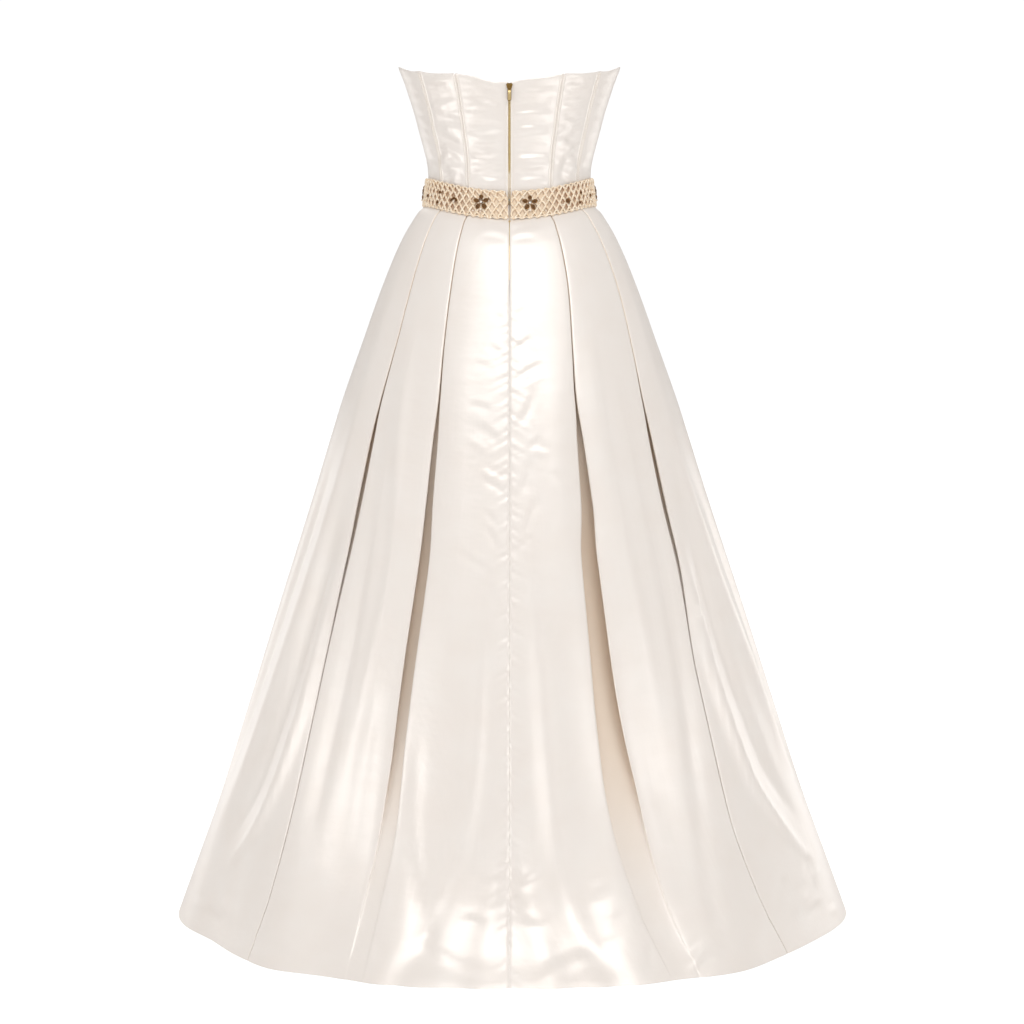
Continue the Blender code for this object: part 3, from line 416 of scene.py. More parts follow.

# %% [markdown]
# ## The skirt's box pleats
#
# An inverted box pleat hides cloth behind two folds that meet. Across it the cloth runs
# s = a u + b sin(2 pi u): with a large b it doubles back on itself in flat layers, and as b falls down
# the skirt the folds part and open into a soft valley. So one formula carries each pleat from three flat
# layers at the waist down to the hem. There are three kinds: a wide pleat that stays open to the hem, a
# narrow one that fades on its way down, and a closed one that parts for a short way below the hip and
# then shuts to a line. The formula also tells where a layer covers the cloth, and there the satin gets
# painted shade, a warmer beige.

# %% Pleat tables and their formula
# level, left inner, left outer, right inner, right outer
PLEAT_LINES = (
    (0.019, 29.5, 53.5, 29.0, 57.5),
    (-0.095, 27.0, 49.5, 27.3, 56.8),
    (-0.210, 25.0, 48.0, 24.0, 53.4),
    (-0.290, 23.5, 48.0, 22.3, 50.6),
    (-0.430, 22.6, 46.8, 22.0, 48.8),
    (-0.510, 22.0, 45.8, 20.8, 48.2),
    (-0.680, 22.4, 45.0, 20.6, 45.2),
    (-0.860, 22.2, 44.4, 21.9, 45.0),
    (-0.970, 23.0, 44.2, 24.0, 47.0),
    (-1.055, 24.0, 45.5, 27.5, 51.0),
)
PLEAT_COLUMN = {"left_inner": 1, "left_outer": 2, "right_inner": 3, "right_outer": 4}

# level, half width, half opening, depth, stacked
WIDE_PLEAT = (
    (0.019, 0.0220, 0.00085, 0.0080, 1.00),
    (-0.055, 0.0240, 0.00085, 0.0090, 1.00),
    (-0.110, 0.0270, 0.00090, 0.0120, 0.95),
    (-0.190, 0.0310, 0.00100, 0.0160, 0.80),
    (-0.290, 0.0380, 0.00180, 0.0240, 0.55),
    (-0.350, 0.0420, 0.00550, 0.0260, 0.30),
    (-0.430, 0.0480, 0.00900, 0.0280, 0.10),
    (-0.520, 0.0530, 0.01280, 0.0290, 0.00),
    (-0.650, 0.0600, 0.01560, 0.0270, 0.00),
    (-0.760, 0.0610, 0.02050, 0.0230, 0.00),
    (-0.830, 0.0540, 0.02500, 0.0180, 0.00),
    (-0.885, 0.0480, 0.02600, 0.0130, 0.00),
    (-0.970, 0.0440, 0.02500, 0.0060, 0.00),
    (-1.055, 0.0420, 0.02400, 0.0010, 0.00),
)
NARROW_PLEAT = (
    (0.019, 0.0220, 0.00085, 0.0064, 1.00),
    (-0.055, 0.0240, 0.00085, 0.0072, 1.00),
    (-0.110, 0.0270, 0.00090, 0.0096, 0.95),
    (-0.190, 0.0310, 0.00100, 0.0128, 0.80),
    (-0.290, 0.0380, 0.00180, 0.0192, 0.55),
    (-0.350, 0.0410, 0.00440, 0.0208, 0.30),
    (-0.430, 0.0450, 0.00560, 0.0224, 0.10),
    (-0.520, 0.0480, 0.00820, 0.0232, 0.00),
    (-0.650, 0.0480, 0.00900, 0.0216, 0.00),
    (-0.760, 0.0340, 0.00900, 0.0160, 0.00),
    (-0.830, 0.0260, 0.01100, 0.0120, 0.00),
    (-0.885, 0.0240, 0.01300, 0.0080, 0.00),
    (-0.970, 0.0250, 0.01450, 0.0040, 0.00),
    (-1.055, 0.0270, 0.01600, 0.0010, 0.00),
)
CLOSED_PLEAT = (
    (0.019, 0.0220, 0.00085, 0.0072, 1.00),
    (-0.055, 0.0240, 0.00085, 0.0080, 1.00),
    (-0.110, 0.0270, 0.00090, 0.0108, 0.95),
    (-0.190, 0.0310, 0.00100, 0.0144, 0.80),
    (-0.290, 0.0360, 0.00180, 0.0200, 0.60),
    (-0.350, 0.0370, 0.00400, 0.0220, 0.45),
    (-0.430, 0.0370, 0.00460, 0.0200, 0.40),
    (-0.520, 0.0340, 0.00300, 0.0160, 0.60),
    (-0.650, 0.0300, 0.00140, 0.0120, 0.90),
    (-0.760, 0.0260, 0.00120, 0.0100, 1.00),
    (-0.830, 0.0225, 0.00120, 0.0100, 1.00),
    (-0.885, 0.0200, 0.00120, 0.0100, 1.00),
    (-0.970, 0.0175, 0.00130, 0.0100, 1.00),
    (-1.055, 0.0160, 0.00150, 0.0100, 1.00),
)
PLEAT_SECTIONS = {
    "left_inner": NARROW_PLEAT,
    "left_outer": CLOSED_PLEAT,
    "right_inner": WIDE_PLEAT,
    "right_outer": CLOSED_PLEAT,
}
LAYER_STEP = 2.2 * MM
FOLD_EDGE = 0.716
FOLD_BACK = 0.284
FOLD_TURN = 0.066
FOLD_SHADE_FADES_AT = 0.60
FOLD_SHADE_FADE = 0.30

# Stretches of a pleat's half section, each with its number of steps: closest at the two folds.
# from, to, steps
PLEAT_STEPS = (
    (0.0, 0.218, 3),
    (0.218, 0.350, 5),
    (0.350, 0.650, 4),
    (0.650, 0.782, 6),
    (0.782, 1.0, 3),
)


def pleat_stations():
    """Where a pleat is sampled, from -1 through 0 to 1."""
    half = np.concatenate([np.linspace(low, high, steps, endpoint=False) for low, high, steps in PLEAT_STEPS])
    half = np.append(half, 1.0)
    return np.concatenate([-half[:0:-1], half])[None, :]


def pleat_offsets(pleat, station, level):
    """How far round and how far in a point of a named pleat lies, and how much painted shade it gets under a
    fold.

    Round it: s = a u + b sin(2 pi u), with b so large that the fold edges leave the stated opening.
    In: one step at each fold while the layers are stacked, blending into (1 + cos(pi u)) / 2.
    """
    sections = PLEAT_SECTIONS[pleat.split("_", 1)[1]]
    half = along(sections, 1, level)
    opening = along(sections, 2, level)
    depth = along(sections, 3, level)
    stacked = along(sections, 4, level)
    fold = (FOLD_EDGE * half - opening) / -math.sin(2 * math.pi * FOLD_EDGE)
    round_it = half * station + fold * np.sin(2 * math.pi * station)
    size = np.abs(station)
    first_turn = smooth((FOLD_EDGE + FOLD_TURN - size) / (2 * FOLD_TURN))
    second_turn = smooth((FOLD_BACK + FOLD_TURN - size) / (2 * FOLD_TURN))
    layers = LAYER_STEP * (first_turn + second_turn)
    valley = depth * (1 + np.cos(math.pi * station)) / 2
    # Painted shade on the layers under a fold, fading out below the hip.
    painted_cover_shade = first_turn * stacked * smooth((level + FOLD_SHADE_FADES_AT) / FOLD_SHADE_FADE)
    return round_it, stacked * layers + (1 - stacked) * valley, painted_cover_shade


def pleat_angle(pleat, level):
    """The middle line of a named pleat. Those of the front mirror the back's."""
    place, side = pleat.split("_", 1)
    line = along(PLEAT_LINES, PLEAT_COLUMN[side], level)
    angle = line if side.startswith("left") else -line
    if place == "back":
        return angle
    return 180 - line if side.startswith("left") else 180 + line


print("each pleat is sampled at", pleat_stations().shape[1], "places")

# %% [markdown]
# ## Long soft folds of the skirt
#
# Between the pleats the satin hangs in long soft troughs and ridges, no two alike. Each is a line down
# the skirt, given by a few places that it passes, with a bell shaped profile across it that widens and
# fades. The broad flutes near the hem are the solids' own, and the finer folds lie on top of them. The
# hidden front gets folds of the same kind, with its own unevenness.

# %% Long folds
# angle at the start, start level, angle at the hem, half width in degrees, depth at the hem
FLUTES = (
    (84.0, -0.15, 84.0, 22.0, 0.005),
    (64.0, -0.62, 61.0, 11.0, 0.018),
    (39.0, -0.78, 39.0, 6.0, -0.011),
    (17.0, -0.78, 17.0, 8.0, -0.012),
    (-6.0, -0.50, -10.0, 3.5, 0.004),
    (-17.0, -0.78, -17.0, 8.0, -0.014),
    (-36.0, -0.78, -36.0, 8.5, -0.016),
    (-66.0, -0.60, -62.0, 15.0, 0.012),
    (-84.0, -0.15, -84.0, 22.0, -0.005),
    (-117.0, -0.62, -118.0, 12.0, 0.014),
    (-142.0, -0.78, -142.0, 7.5, -0.013),
    (-164.0, -0.78, -163.0, 8.0, -0.012),
    (-173.0, -0.60, -170.0, 3.5, 0.004),
    (174.0, -0.55, 171.0, 3.5, 0.004),
    (163.0, -0.78, 163.0, 8.0, -0.012),
    (141.0, -0.78, 141.0, 6.5, -0.012),
    (118.0, -0.62, 119.0, 11.0, 0.016),
)


def flute_depth(angle, level):
    """How far the flutes sink the skirt in: a bell round each flute's line that deepens to the hem."""
    total = np.zeros(np.broadcast(angle, level).shape)
    for start_angle, start_level, hem_angle, width, depth in FLUTES:
        share = smooth((start_level - level) / (start_level - HEM_LEVEL))
        middle = start_angle + (hem_angle - start_angle) * share
        total = total + depth * share * np.exp(-(turned(angle - middle) / width) ** 2)
    return total


# Height out of the cloth in mm (less than 0 is a trough), half width in mm at the top and at the foot,
# the share of its length over which it rises and over which it fades, then the places that it passes.
# height, width at the top, width at the foot, rise, fade, ((level, angle), ...)
BACK_FOLDS = (
    (4.2, 9, 14, 0.30, 0.25, ((-0.46, 48.0), (-0.71, 49.0), (-0.79, 50.5), (-0.87, 54.0), (-0.99, 67.5))),
    (-3.4, 11, 16, 0.35, 0.25, ((-0.40, 53.0), (-0.66, 54.5), (-0.82, 58.5), (-0.97, 71.0))),
    (3.8, 14, 22, 0.30, 0.30, ((-0.24, 57.0), (-0.58, 61.0), (-0.78, 67.0), (-0.97, 77.5))),
    (-3.2, 15, 22, 0.35, 0.30, ((-0.30, 68.0), (-0.62, 73.0), (-0.95, 84.0))),
    (2.0, 10, 14, 0.35, 0.35, ((-0.10, 43.0), (-0.33, 36.0), (-0.53, 30.4), (-0.70, 32.0), (-0.88, 33.2))),
    (-2.2, 8, 12, 0.40, 0.20, ((-0.18, 49.0), (-0.36, 43.0), (-0.65, 38.0), (-0.84, 38.4), (-1.01, 31.5))),
    (-1.6, 9, 13, 0.35, 0.30, ((-0.66, 28.6), (-0.80, 29.5), (-0.95, 28.5))),
    (-2.4, 8, 12, 0.40, 0.15, ((-0.70, 18.4), (-0.85, 17.8), (-0.95, 15.0), (-1.02, 12.6))),
    (1.6, 18, 26, 0.40, 0.40, ((-0.12, 20.8), (-0.33, 17.2), (-0.51, 14.8), (-0.85, 11.5))),
    (-2.8, 10, 17, 0.45, 0.10, ((-0.50, 4.5), (-0.66, 6.0), (-0.81, 7.0), (-0.97, 11.5), (-1.055, 17.0))),
    (2.6, 9, 22, 0.50, 0.05, ((-0.84, 1.0), (-0.95, 2.6), (-1.055, 4.0))),
    (-3.2, 11, 20, 0.40, 0.10,
     ((-0.46, -5.0), (-0.66, -6.8), (-0.86, -8.2), (-0.97, -10.2), (-1.055, -16.5))),
    (3.0, 10, 24, 0.50, 0.05, ((-0.84, -1.0), (-0.95, -3.0), (-1.055, -6.5))),
    (1.8, 16, 24, 0.40, 0.40, ((-0.15, -16.2), (-0.33, -14.3), (-0.51, -13.2), (-0.85, -12.4))),
    (1.7, 9, 14, 0.35, 0.35, ((-0.12, -34.5), (-0.34, -29.5), (-0.57, -31.5), (-0.78, -32.5))),
    (-2.0, 9, 12, 0.40, 0.15,
     ((-0.16, -41.5), (-0.36, -42.4), (-0.61, -41.0), (-0.82, -38.0), (-0.96, -35.0))),
    (-1.8, 10, 15, 0.40, 0.30, ((-0.55, -26.5), (-0.75, -28.0), (-0.93, -31.0))),
    (4.4, 9, 13, 0.30, 0.22,
     ((-0.44, -50.5), (-0.63, -50.5), (-0.81, -54.5), (-0.92, -65.5), (-0.98, -75.5))),
    (-3.6, 11, 15, 0.35, 0.25, ((-0.42, -56.0), (-0.62, -56.5), (-0.80, -62.0), (-0.93, -74.0))),
    (3.6, 15, 22, 0.35, 0.35, ((-0.26, -61.5), (-0.52, -65.0), (-0.73, -73.2), (-0.90, -80.0))),
    (-3.0, 14, 20, 0.35, 0.30, ((-0.36, -71.0), (-0.62, -79.0), (-0.92, -86.0))),
    (1.6, 16, 20, 0.40, 0.50, ((-0.02, 63.0), (-0.20, 60.0), (-0.42, 58.5))),
    (1.6, 16, 20, 0.40, 0.50, ((-0.02, -66.0), (-0.20, -63.5), (-0.42, -62.0))),
)
FRONT_FOLDS = (
    (2.0, 16, 24, 0.35, 0.35, ((-0.10, 168.0), (-0.50, 166.0), (-0.88, 168.0))),
    (1.8, 16, 24, 0.35, 0.35, ((-0.15, 190.0), (-0.50, 194.0), (-0.85, 193.0))),
    (-2.6, 10, 18, 0.40, 0.10, ((-0.48, 175.0), (-0.75, 172.5), (-1.055, 165.0))),
    (-2.2, 10, 18, 0.40, 0.10, ((-0.60, 184.0), (-0.85, 187.0), (-1.055, 195.0))),
    (1.9, 9, 14, 0.35, 0.35, ((-0.12, 145.0), (-0.40, 148.0), (-0.80, 147.0))),
    (1.8, 9, 14, 0.35, 0.35, ((-0.12, 214.0), (-0.45, 211.0), (-0.78, 212.5))),
    (-2.0, 9, 12, 0.40, 0.20, ((-0.20, 133.0), (-0.60, 141.0), (-0.97, 146.0))),
    (-2.1, 9, 12, 0.40, 0.20, ((-0.25, 222.0), (-0.60, 219.0), (-0.96, 214.5))),
    (2.3, 9, 13, 0.30, 0.25, ((-0.52, 134.0), (-0.75, 131.5), (-0.96, 116.0))),
    (2.2, 9, 13, 0.30, 0.25, ((-0.55, 227.0), (-0.78, 230.0), (-0.95, 243.0))),
    (2.4, 17, 24, 0.35, 0.35, ((-0.25, 122.0), (-0.60, 119.0), (-0.95, 108.0))),
    (2.3, 17, 24, 0.35, 0.35, ((-0.28, 239.0), (-0.60, 243.0), (-0.92, 251.0))),
    (-1.8, 14, 18, 0.35, 0.30, ((-0.35, 110.0), (-0.70, 104.0), (-0.96, 98.0))),
    (-1.8, 14, 18, 0.35, 0.30, ((-0.38, 250.0), (-0.72, 256.0), (-0.94, 262.0))),
)

FOLD_STRENGTH = 1.8


def long_folds(folds, angle, level):
    """Height of the folds: each a bell exp(-(distance / width) squared) about its line down the skirt."""
    total = np.zeros(np.broadcast(angle, level).shape)
    for height, top_width, foot_width, rise, fade, places in folds:
        height = height * FOLD_STRENGTH
        top = places[0][0]
        foot = places[-1][0]
        share = (top - level) / (top - foot)
        line = along(places, 1, level)
        width = (top_width + (foot_width - top_width) * np.clip(share, 0, 1)) * MM
        away = turned(angle - line) / degrees_per_metre(SKIRT_SECTIONS, line, level)
        strength = smooth(share / rise) * smooth((1 - share) / fade + (fade <= 0.15))
        total = total + height * MM * strength * np.exp(-(away / width) ** 2)
    return total


print(len(BACK_FOLDS) + len(FRONT_FOLDS), "long folds on", len(FLUTES), "flutes")

# %% [markdown]
# ## Short creases and seam puckers
#
# Satin creases where it is pulled: in swags under the belt, in short slanting dents beside the long centre
# seam, and in small kinks where the hem meets the floor. A crease is a stroke: it has a place, a length, a
# tilt, a width and a bow, and its profile is a trough with a small ridge beside it, because cloth that
# sinks in one place is pushed up in the next. The stitching of the centre seam draws the cloth up into
# small puckers, which run down and away from it.

# %% Creases and puckers
# angle, level, length mm, tilt from level in degrees, half width mm, depth mm, bow mm
BACK_CREASES = (
    (7.5, -0.004, 42, 14, 4.0, 1.3, 4), (8.5, -0.016, 50, 10, 4.0, 1.1, 5),
    (9.0, -0.034, 40, 8, 5.0, 0.7, 4), (-7.5, -0.004, 44, -15, 4.0, 1.4, 4),
    (-9.0, -0.018, 50, -9, 4.0, 1.0, 5), (-8.0, -0.036, 38, -8, 5.0, 0.7, 4),
    (19.0, -0.006, 26, 60, 4.5, 0.9, 2), (-19.0, -0.006, 26, -62, 4.5, 0.9, 2),
    (-5.0, -0.150, 24, -28, 3.6, 0.43, 1), (-5.0, -0.203, 35, -38, 3.6, 0.93, 2),
    (-7.0, -0.245, 51, -32, 3.6, 0.93, 3), (-8.5, -0.262, 37, -30, 3.6, -0.56, 2),
    (-5.2, -0.300, 59, -64, 5.8, 0.99, -4), (-8.6, -0.362, 26, 18, 4.3, -0.74, 2),
    (-8.0, -0.350, 29, -50, 4.3, 0.68, 2), (-15.0, -0.407, 46, -56, 4.3, 0.81, 3),
    (-13.5, -0.392, 20, 0, 3.6, 0.56, 1), (-4.4, -0.395, 62, -76, 5.8, 0.74, -3),
    (-6.2, -0.452, 64, -70, 5.8, 0.87, 4), (-4.2, -0.487, 29, -40, 4.3, 0.62, 2),
    (4.0, -0.160, 22, 30, 3.6, 0.37, 1), (5.5, -0.212, 29, 40, 4.3, 0.43, 2),
    (9.0, -0.238, 33, 22, 4.3, 0.37, 2), (9.5, -0.300, 35, 16, 5.0, 0.50, 3),
    (7.0, -0.338, 48, 34, 6.5, 0.81, 3), (9.5, -0.352, 37, 30, 4.3, -0.56, 2),
    (4.6, -0.392, 37, 24, 4.3, -0.87, -3), (4.6, -0.408, 37, 30, 3.6, 0.93, 2),
    (5.4, -0.452, 31, 48, 4.3, 0.56, 2), (5.0, -0.478, 35, 62, 5.0, 0.68, 2),
    (8.0, -0.520, 46, 24, 5.0, 0.50, 4), (12.0, -0.505, 37, 14, 5.0, 0.37, 3),
    (4.4, -0.560, 44, 74, 5.8, 0.62, 2), (-4.8, -0.560, 48, -72, 5.8, 0.62, -3),
    (-8.5, -0.610, 29, -40, 4.3, 0.37, 2), (31.5, -1.014, 26, -82, 5.0, 1.8, 1),
    (31.8, -1.026, 34, 22, 4.0, -2.0, 3), (38.0, -1.036, 44, 26, 5.0, 1.8, 3),
    (41.0, -1.041, 36, 12, 4.0, -1.6, -2), (46.0, -1.032, 36, 36, 6.0, 1.2, 2),
    (50.0, -1.006, 44, 60, 7.0, 1.4, 3), (58.0, -1.015, 60, 24, 8.0, -2.2, 6),
    (64.0, -1.030, 56, 12, 7.0, 1.8, 4), (70.0, -1.022, 40, 8, 6.0, -1.6, 3),
    (12.8, -1.002, 22, 70, 5.0, 1.6, 1), (14.5, -1.012, 20, -40, 4.0, -1.5, 1),
    (10.5, -1.028, 70, 34, 7.0, -2.2, 6), (5.5, -0.985, 34, 16, 6.0, 1.6, 3),
    (8.5, -1.040, 66, 22, 7.0, 1.6, 4), (20.5, -1.022, 36, 84, 5.0, 1.3, 0),
    (3.0, -0.935, 26, -30, 6.0, 1.2, 2), (-3.5, -0.935, 34, -24, 6.0, 1.4, 2),
    (-4.0, -0.985, 40, 12, 7.0, 1.3, -3), (-9.0, -1.034, 80, -16, 8.0, -1.8, 5),
    (-16.4, -1.006, 20, -62, 5.0, 2.0, 1), (-17.6, -0.985, 34, -70, 6.0, 1.2, 2),
    (-15.2, -0.955, 30, -64, 6.0, 1.2, 2), (-22.0, -1.030, 36, -80, 5.0, 1.8, 2),
    (-30.5, -1.030, 50, -38, 5.0, -2.2, 2), (-31.0, -1.042, 44, -34, 4.5, 2.0, 2),
    (-36.0, -1.026, 54, -42, 5.0, 2.2, 2), (-38.0, -1.014, 34, -46, 4.5, -1.8, 1),
    (-34.6, -0.972, 24, -70, 5.0, 1.8, 1), (-35.5, -0.990, 30, -44, 5.0, 1.4, 2),
    (-47.0, -1.020, 60, -40, 8.0, 1.3, 4), (-55.0, -0.985, 66, -34, 8.0, 1.8, 7),
    (-61.0, -1.008, 70, -18, 7.0, -2.4, 7), (-66.0, -1.024, 60, -10, 6.0, 2.0, 4),
    (-72.0, -0.985, 40, -34, 7.0, -1.8, 5), (-69.0, -0.965, 44, -30, 7.0, 1.6, 5),
    (-74.0, -1.036, 40, 4, 5.0, -1.4, 3),
)
FRONT_CREASES = (
    (172.0, 0.010, 42, -12, 4.0, 1.1, 4), (187.0, 0.008, 40, 12, 4.0, 1.2, 4),
    (173.0, -0.016, 50, -8, 5.0, 0.8, 5), (188.0, -0.020, 44, 9, 5.0, 0.9, 4),
    (160.0, -0.006, 24, -60, 4.5, 0.8, 2), (201.0, -0.006, 24, 60, 4.5, 0.9, 2),
    (168.0, -1.020, 44, 30, 6.0, 1.6, 4), (176.0, -1.034, 60, 12, 7.0, -1.6, 5),
    (186.0, -1.026, 54, -20, 6.0, 1.6, 4), (195.0, -1.018, 34, -60, 5.0, 1.4, 2),
    (205.0, -1.036, 44, -28, 5.0, -1.8, 3), (214.0, -1.028, 40, -40, 5.0, 1.8, 3),
    (226.0, -1.030, 50, -30, 6.0, 1.5, 4), (240.0, -1.014, 60, -22, 8.0, -2.0, 6),
    (250.0, -1.028, 54, -12, 7.0, 1.7, 4), (148.0, -1.026, 40, 42, 5.0, 1.8, 3),
    (140.0, -1.038, 44, 26, 5.0, -1.6, 3), (131.0, -1.022, 46, 34, 6.0, 1.4, 3),
    (121.0, -1.012, 60, 24, 8.0, -2.0, 6), (112.0, -1.028, 56, 12, 7.0, 1.8, 4),
    (156.0, -1.018, 30, 72, 5.0, 1.4, 2), (262.0, -1.020, 46, -16, 7.0, 1.5, 4),
    (99.0, -1.022, 46, 14, 7.0, 1.5, 4),
)


def creases(table, sections, angle, level):
    """Strokes on the cloth. Along one, x' runs its length; across it, y' is bent by the bow.

    The profile is exp(-t squared) with a weaker ridge of the opposite sign 1.6 widths to one side.
    """
    total = np.zeros(np.broadcast(angle, level).shape)
    for at_angle, at_level, length, tilt, width, depth, bow in table:
        x = turned(angle - at_angle) / degrees_per_metre(sections, at_angle, at_level)
        y = level - at_level
        turn = math.radians(tilt)
        run = (x * math.cos(turn) + y * math.sin(turn)) / (length * MM / 2)
        side = (y * math.cos(turn) - x * math.sin(turn) - bow * MM * (1 - run ** 2)) / (width * MM)
        stroke = np.exp(-side ** 2) - 0.45 * np.exp(-(side - 1.6) ** 2)
        total = total - depth * MM * stroke * smooth(1.25 * (1.15 - np.abs(run)))
    return total


PUCKER_SLOPE = 0.55
PUCKER_HEIGHT = 0.42 * MM
PUCKER_REACH = 13 * MM
PUCKER_START = -0.085
PUCKER_FADE = 0.12
PUCKER_BEATS = (0.031, 0.083)

# spacing mm, share of the height, phase
PUCKER_WAVES = ((11.3, 1.0, 0.0), (15.7, 0.8, 1.3), (8.3, 0.5, 2.1), (27.0, 0.6, 0.4))


def seam_puckers(angle, level):
    """Small ridges beside the centre seam: waves of level + slope times distance, dying away from it."""
    away = np.abs(angle) / degrees_per_metre(SKIRT_SECTIONS, 0.0, level)
    run = level + PUCKER_SLOPE * away
    side = np.sign(angle)
    waves = np.zeros(np.broadcast(angle, level).shape)
    for spacing, share, phase in PUCKER_WAVES:
        waves = waves + share * np.sin(2 * math.pi * run / (spacing * MM) + phase * (2 + side))
    quick, slow = PUCKER_BEATS
    reach = PUCKER_REACH * (1.15 + 0.5 * np.sin(level / quick + side) * np.sin(level / slow))
    start = smooth((PUCKER_START - level) / PUCKER_FADE)
    return PUCKER_HEIGHT * waves * np.exp(-(away / reach) ** 1.4) * start


EDGE_ROLL = 1.3 * MM
EDGE_REACH = 2.2 * MM


def edge_roll(distance):
    """How far the cloth turns in beside a seam."""
    return EDGE_ROLL * np.exp(-(distance / EDGE_REACH) ** 2)


print(len(BACK_CREASES) + len(FRONT_CREASES), "short creases")

# %% [markdown]
# ## The three skirt panels
#
# Two back panels meet at the centre seam, below the slit that the zip closes, and one panel makes the
# whole front. The grid is closest where the cloth does most: beside the centre seam and at the folds of
# the pleats. A fold's hidden layers lie at the same angle as the layer that covers them, so moving every
# point by its angle and level carries all the layers together and none breaks through another.

# %% Skirt panels
# How deep a valley is when it gets its full painted shade, and how strong that painted shade is.
PLEAT_SHADE = 30 * MM
VALLEY_SHADE = 0.5
SKIRT_ROWS = 264
FRONT_ROWS = 180

# level, half the gap
SLIT = (
    (0.019, 0.0003),
    (-0.0015, 0.0003),
    (-0.010, 0.0007),
    (-0.045, 0.0007),
    (-0.070, 0.0005),
    (-0.110, 0.0004),
    (-0.150, 0.00015),
    (-1.055, 0.00015),
)


def seam_shares(steps):
    """Shares of a flat stretch that crowd towards its start, as t to the power 1.8."""
    return (np.arange(1, steps + 1) / (steps + 1)) ** 1.8


def even_shares(steps):
    """Shares spread evenly inside a flat stretch."""
    return np.arange(1, steps + 1) / (steps + 1)


def flat_columns(angle):
    """Columns of plain cloth: their angles, with no inset and no painted shade."""
    return angle, np.zeros_like(angle), np.zeros_like(angle)


def skirt_grid(start, pleats, end, shares, rows, slit_at=None):
    """Angles, levels, insets and painted fold shade of a panel: a column of the grid for each share and
    station.
    """
    level = np.linspace(SEAM_LEVEL, HEM_LEVEL, rows)[:, None]
    stations = pleat_stations()
    slit = along(SLIT, 1, level)
    plain = np.full_like(level, SEAM_GAP / 2)
    low = start + (slit if slit_at == "start" else plain) * degrees_per_metre(SKIRT_SECTIONS, start, level)
    high = end - (slit if slit_at == "end" else plain) * degrees_per_metre(SKIRT_SECTIONS, end, level)
    columns = [flat_columns(low)]
    reached = low
    for pleat, parts in zip(pleats, shares):
        middle = pleat_angle(pleat, level)
        round_it, inset, painted_cover_shade = pleat_offsets(pleat, stations, level)
        pleated = middle + round_it * degrees_per_metre(SKIRT_SECTIONS, middle, level)
        columns.append(flat_columns(reached + (pleated[:, :1] - reached) * parts))
        columns.append((pleated, inset, painted_cover_shade))
        reached = pleated[:, -1:]
    columns.append(flat_columns(reached + (high - reached) * shares[-1]))
    columns.append(flat_columns(high))
    angle, inset, painted_fold_shade = (np.concatenate(group, axis=1) for group in zip(*columns))
    return angle, np.repeat(level, angle.shape[1], axis=1), inset, painted_fold_shade


def skirt_panel(name, start, pleats, end, shares, rows, relief, slit_at=None):
    """One panel of the skirt, with its pleats, flutes, folds, creases and rolled edges."""
    angle, level, inset, painted_fold_shade = skirt_grid(start, pleats, end, shares, rows, slit_at)
    # Painted shade: warmer satin in deep pleat valleys and on the layers under the folds.
    shades = np.maximum(VALLEY_SHADE * smooth(inset / PLEAT_SHADE), painted_fold_shade)
    place, out = section(SKIRT_SECTIONS, angle, level)
    inset = inset + flute_depth(angle, level) - relief(angle, level)
    for edge in (start, end):
        distance = np.abs(angle - edge) / degrees_per_metre(SKIRT_SECTIONS, edge, level)
        inset = inset + edge_roll(distance)
    place = place - out * inset[..., None]
    height = level + waist_dip(angle, level)
    height[0] -= SEAM_GAP / 2
    middle = np.concatenate([place, height[..., None]], axis=-1)
    made = cloth(name, middle, np.full(angle.shape, SKIRT_WALL / 2), satin, shades=shades)
    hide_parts(name)
    return made


def back_relief(angle, level):
    """Everything that lies on the back of the skirt."""
    return (long_folds(BACK_FOLDS, angle, level) + seam_puckers(angle, level)
            + creases(BACK_CREASES, SKIRT_SECTIONS, angle, level))


def front_relief(angle, level):
    """Everything that lies on the front of the skirt."""
    return (long_folds(FRONT_FOLDS, angle, level)
            + creases(FRONT_CREASES, SKIRT_SECTIONS, angle, level))


skirt_panel("skirt_back_L", 0, ("back_left_inner", "back_left_outer"), 90,
            (seam_shares(26), even_shares(11), even_shares(26)), SKIRT_ROWS, back_relief, "start")
skirt_panel("skirt_back_R", -90, ("back_right_outer", "back_right_inner"), 0,
            (even_shares(26), even_shares(11), 1 - seam_shares(26)[::-1]), SKIRT_ROWS, back_relief, "end")
skirt_panel("skirt_front", 90, ("front_left_outer", "front_left_inner", "front_right_inner",
                                "front_right_outer"), 270,
            (even_shares(8), even_shares(3), even_shares(10), even_shares(3), even_shares(8)),
            FRONT_ROWS, front_relief)

# %% [markdown]
# ## The boned bodice
#
# Nine panels of the same satin are sewn over bones. The bones run in channels beside the seams, and a
# double row of topstitching holds each channel, so it stands a little proud. Between the bones the satin
# is pulled sideways, which gives the soft level bands of the back panels, and it buckles in slanting
# creases over the waist at the sides. The front has two soft cups that come from its cut.

# %% Bodice tables
# angle, height
NECKLINE = (
    (0, 0.1668),
    (12, 0.1726),
    (21, 0.1772),
    (35, 0.1822),
    (61, 0.1902),
    (90, 0.2042),
    (112, 0.2045),
    (142, 0.2070),
    (160, 0.1960),
    (180, 0.1840),
)
CUP_ANGLE = 142
CUP_SPREAD = 24
CUP_LEVEL = 0.135
CUP_HEIGHT = 0.048
CUP_FULLNESS = 13 * MM
BACK_SEAM = 30
SIDE_BACK_SEAM = 56
SIDE_FRONT_SEAM = 104
FRONT_SEAM = 152
ZIP_OPENING = 1.5 * MM
# height, half the gap beside the zip
ZIP_GAPS = (
    (0.170, ZIP_OPENING),
    (0.058, ZIP_OPENING),
    (0.044, 0.0012),
    (0.036, 0.0003),
    (0.000, 0.0003),
)
CHANNEL_HALF = 3.4 * MM
CHANNEL_EDGE = 1.0 * MM
CHANNEL_HEIGHT = 0.6 * MM

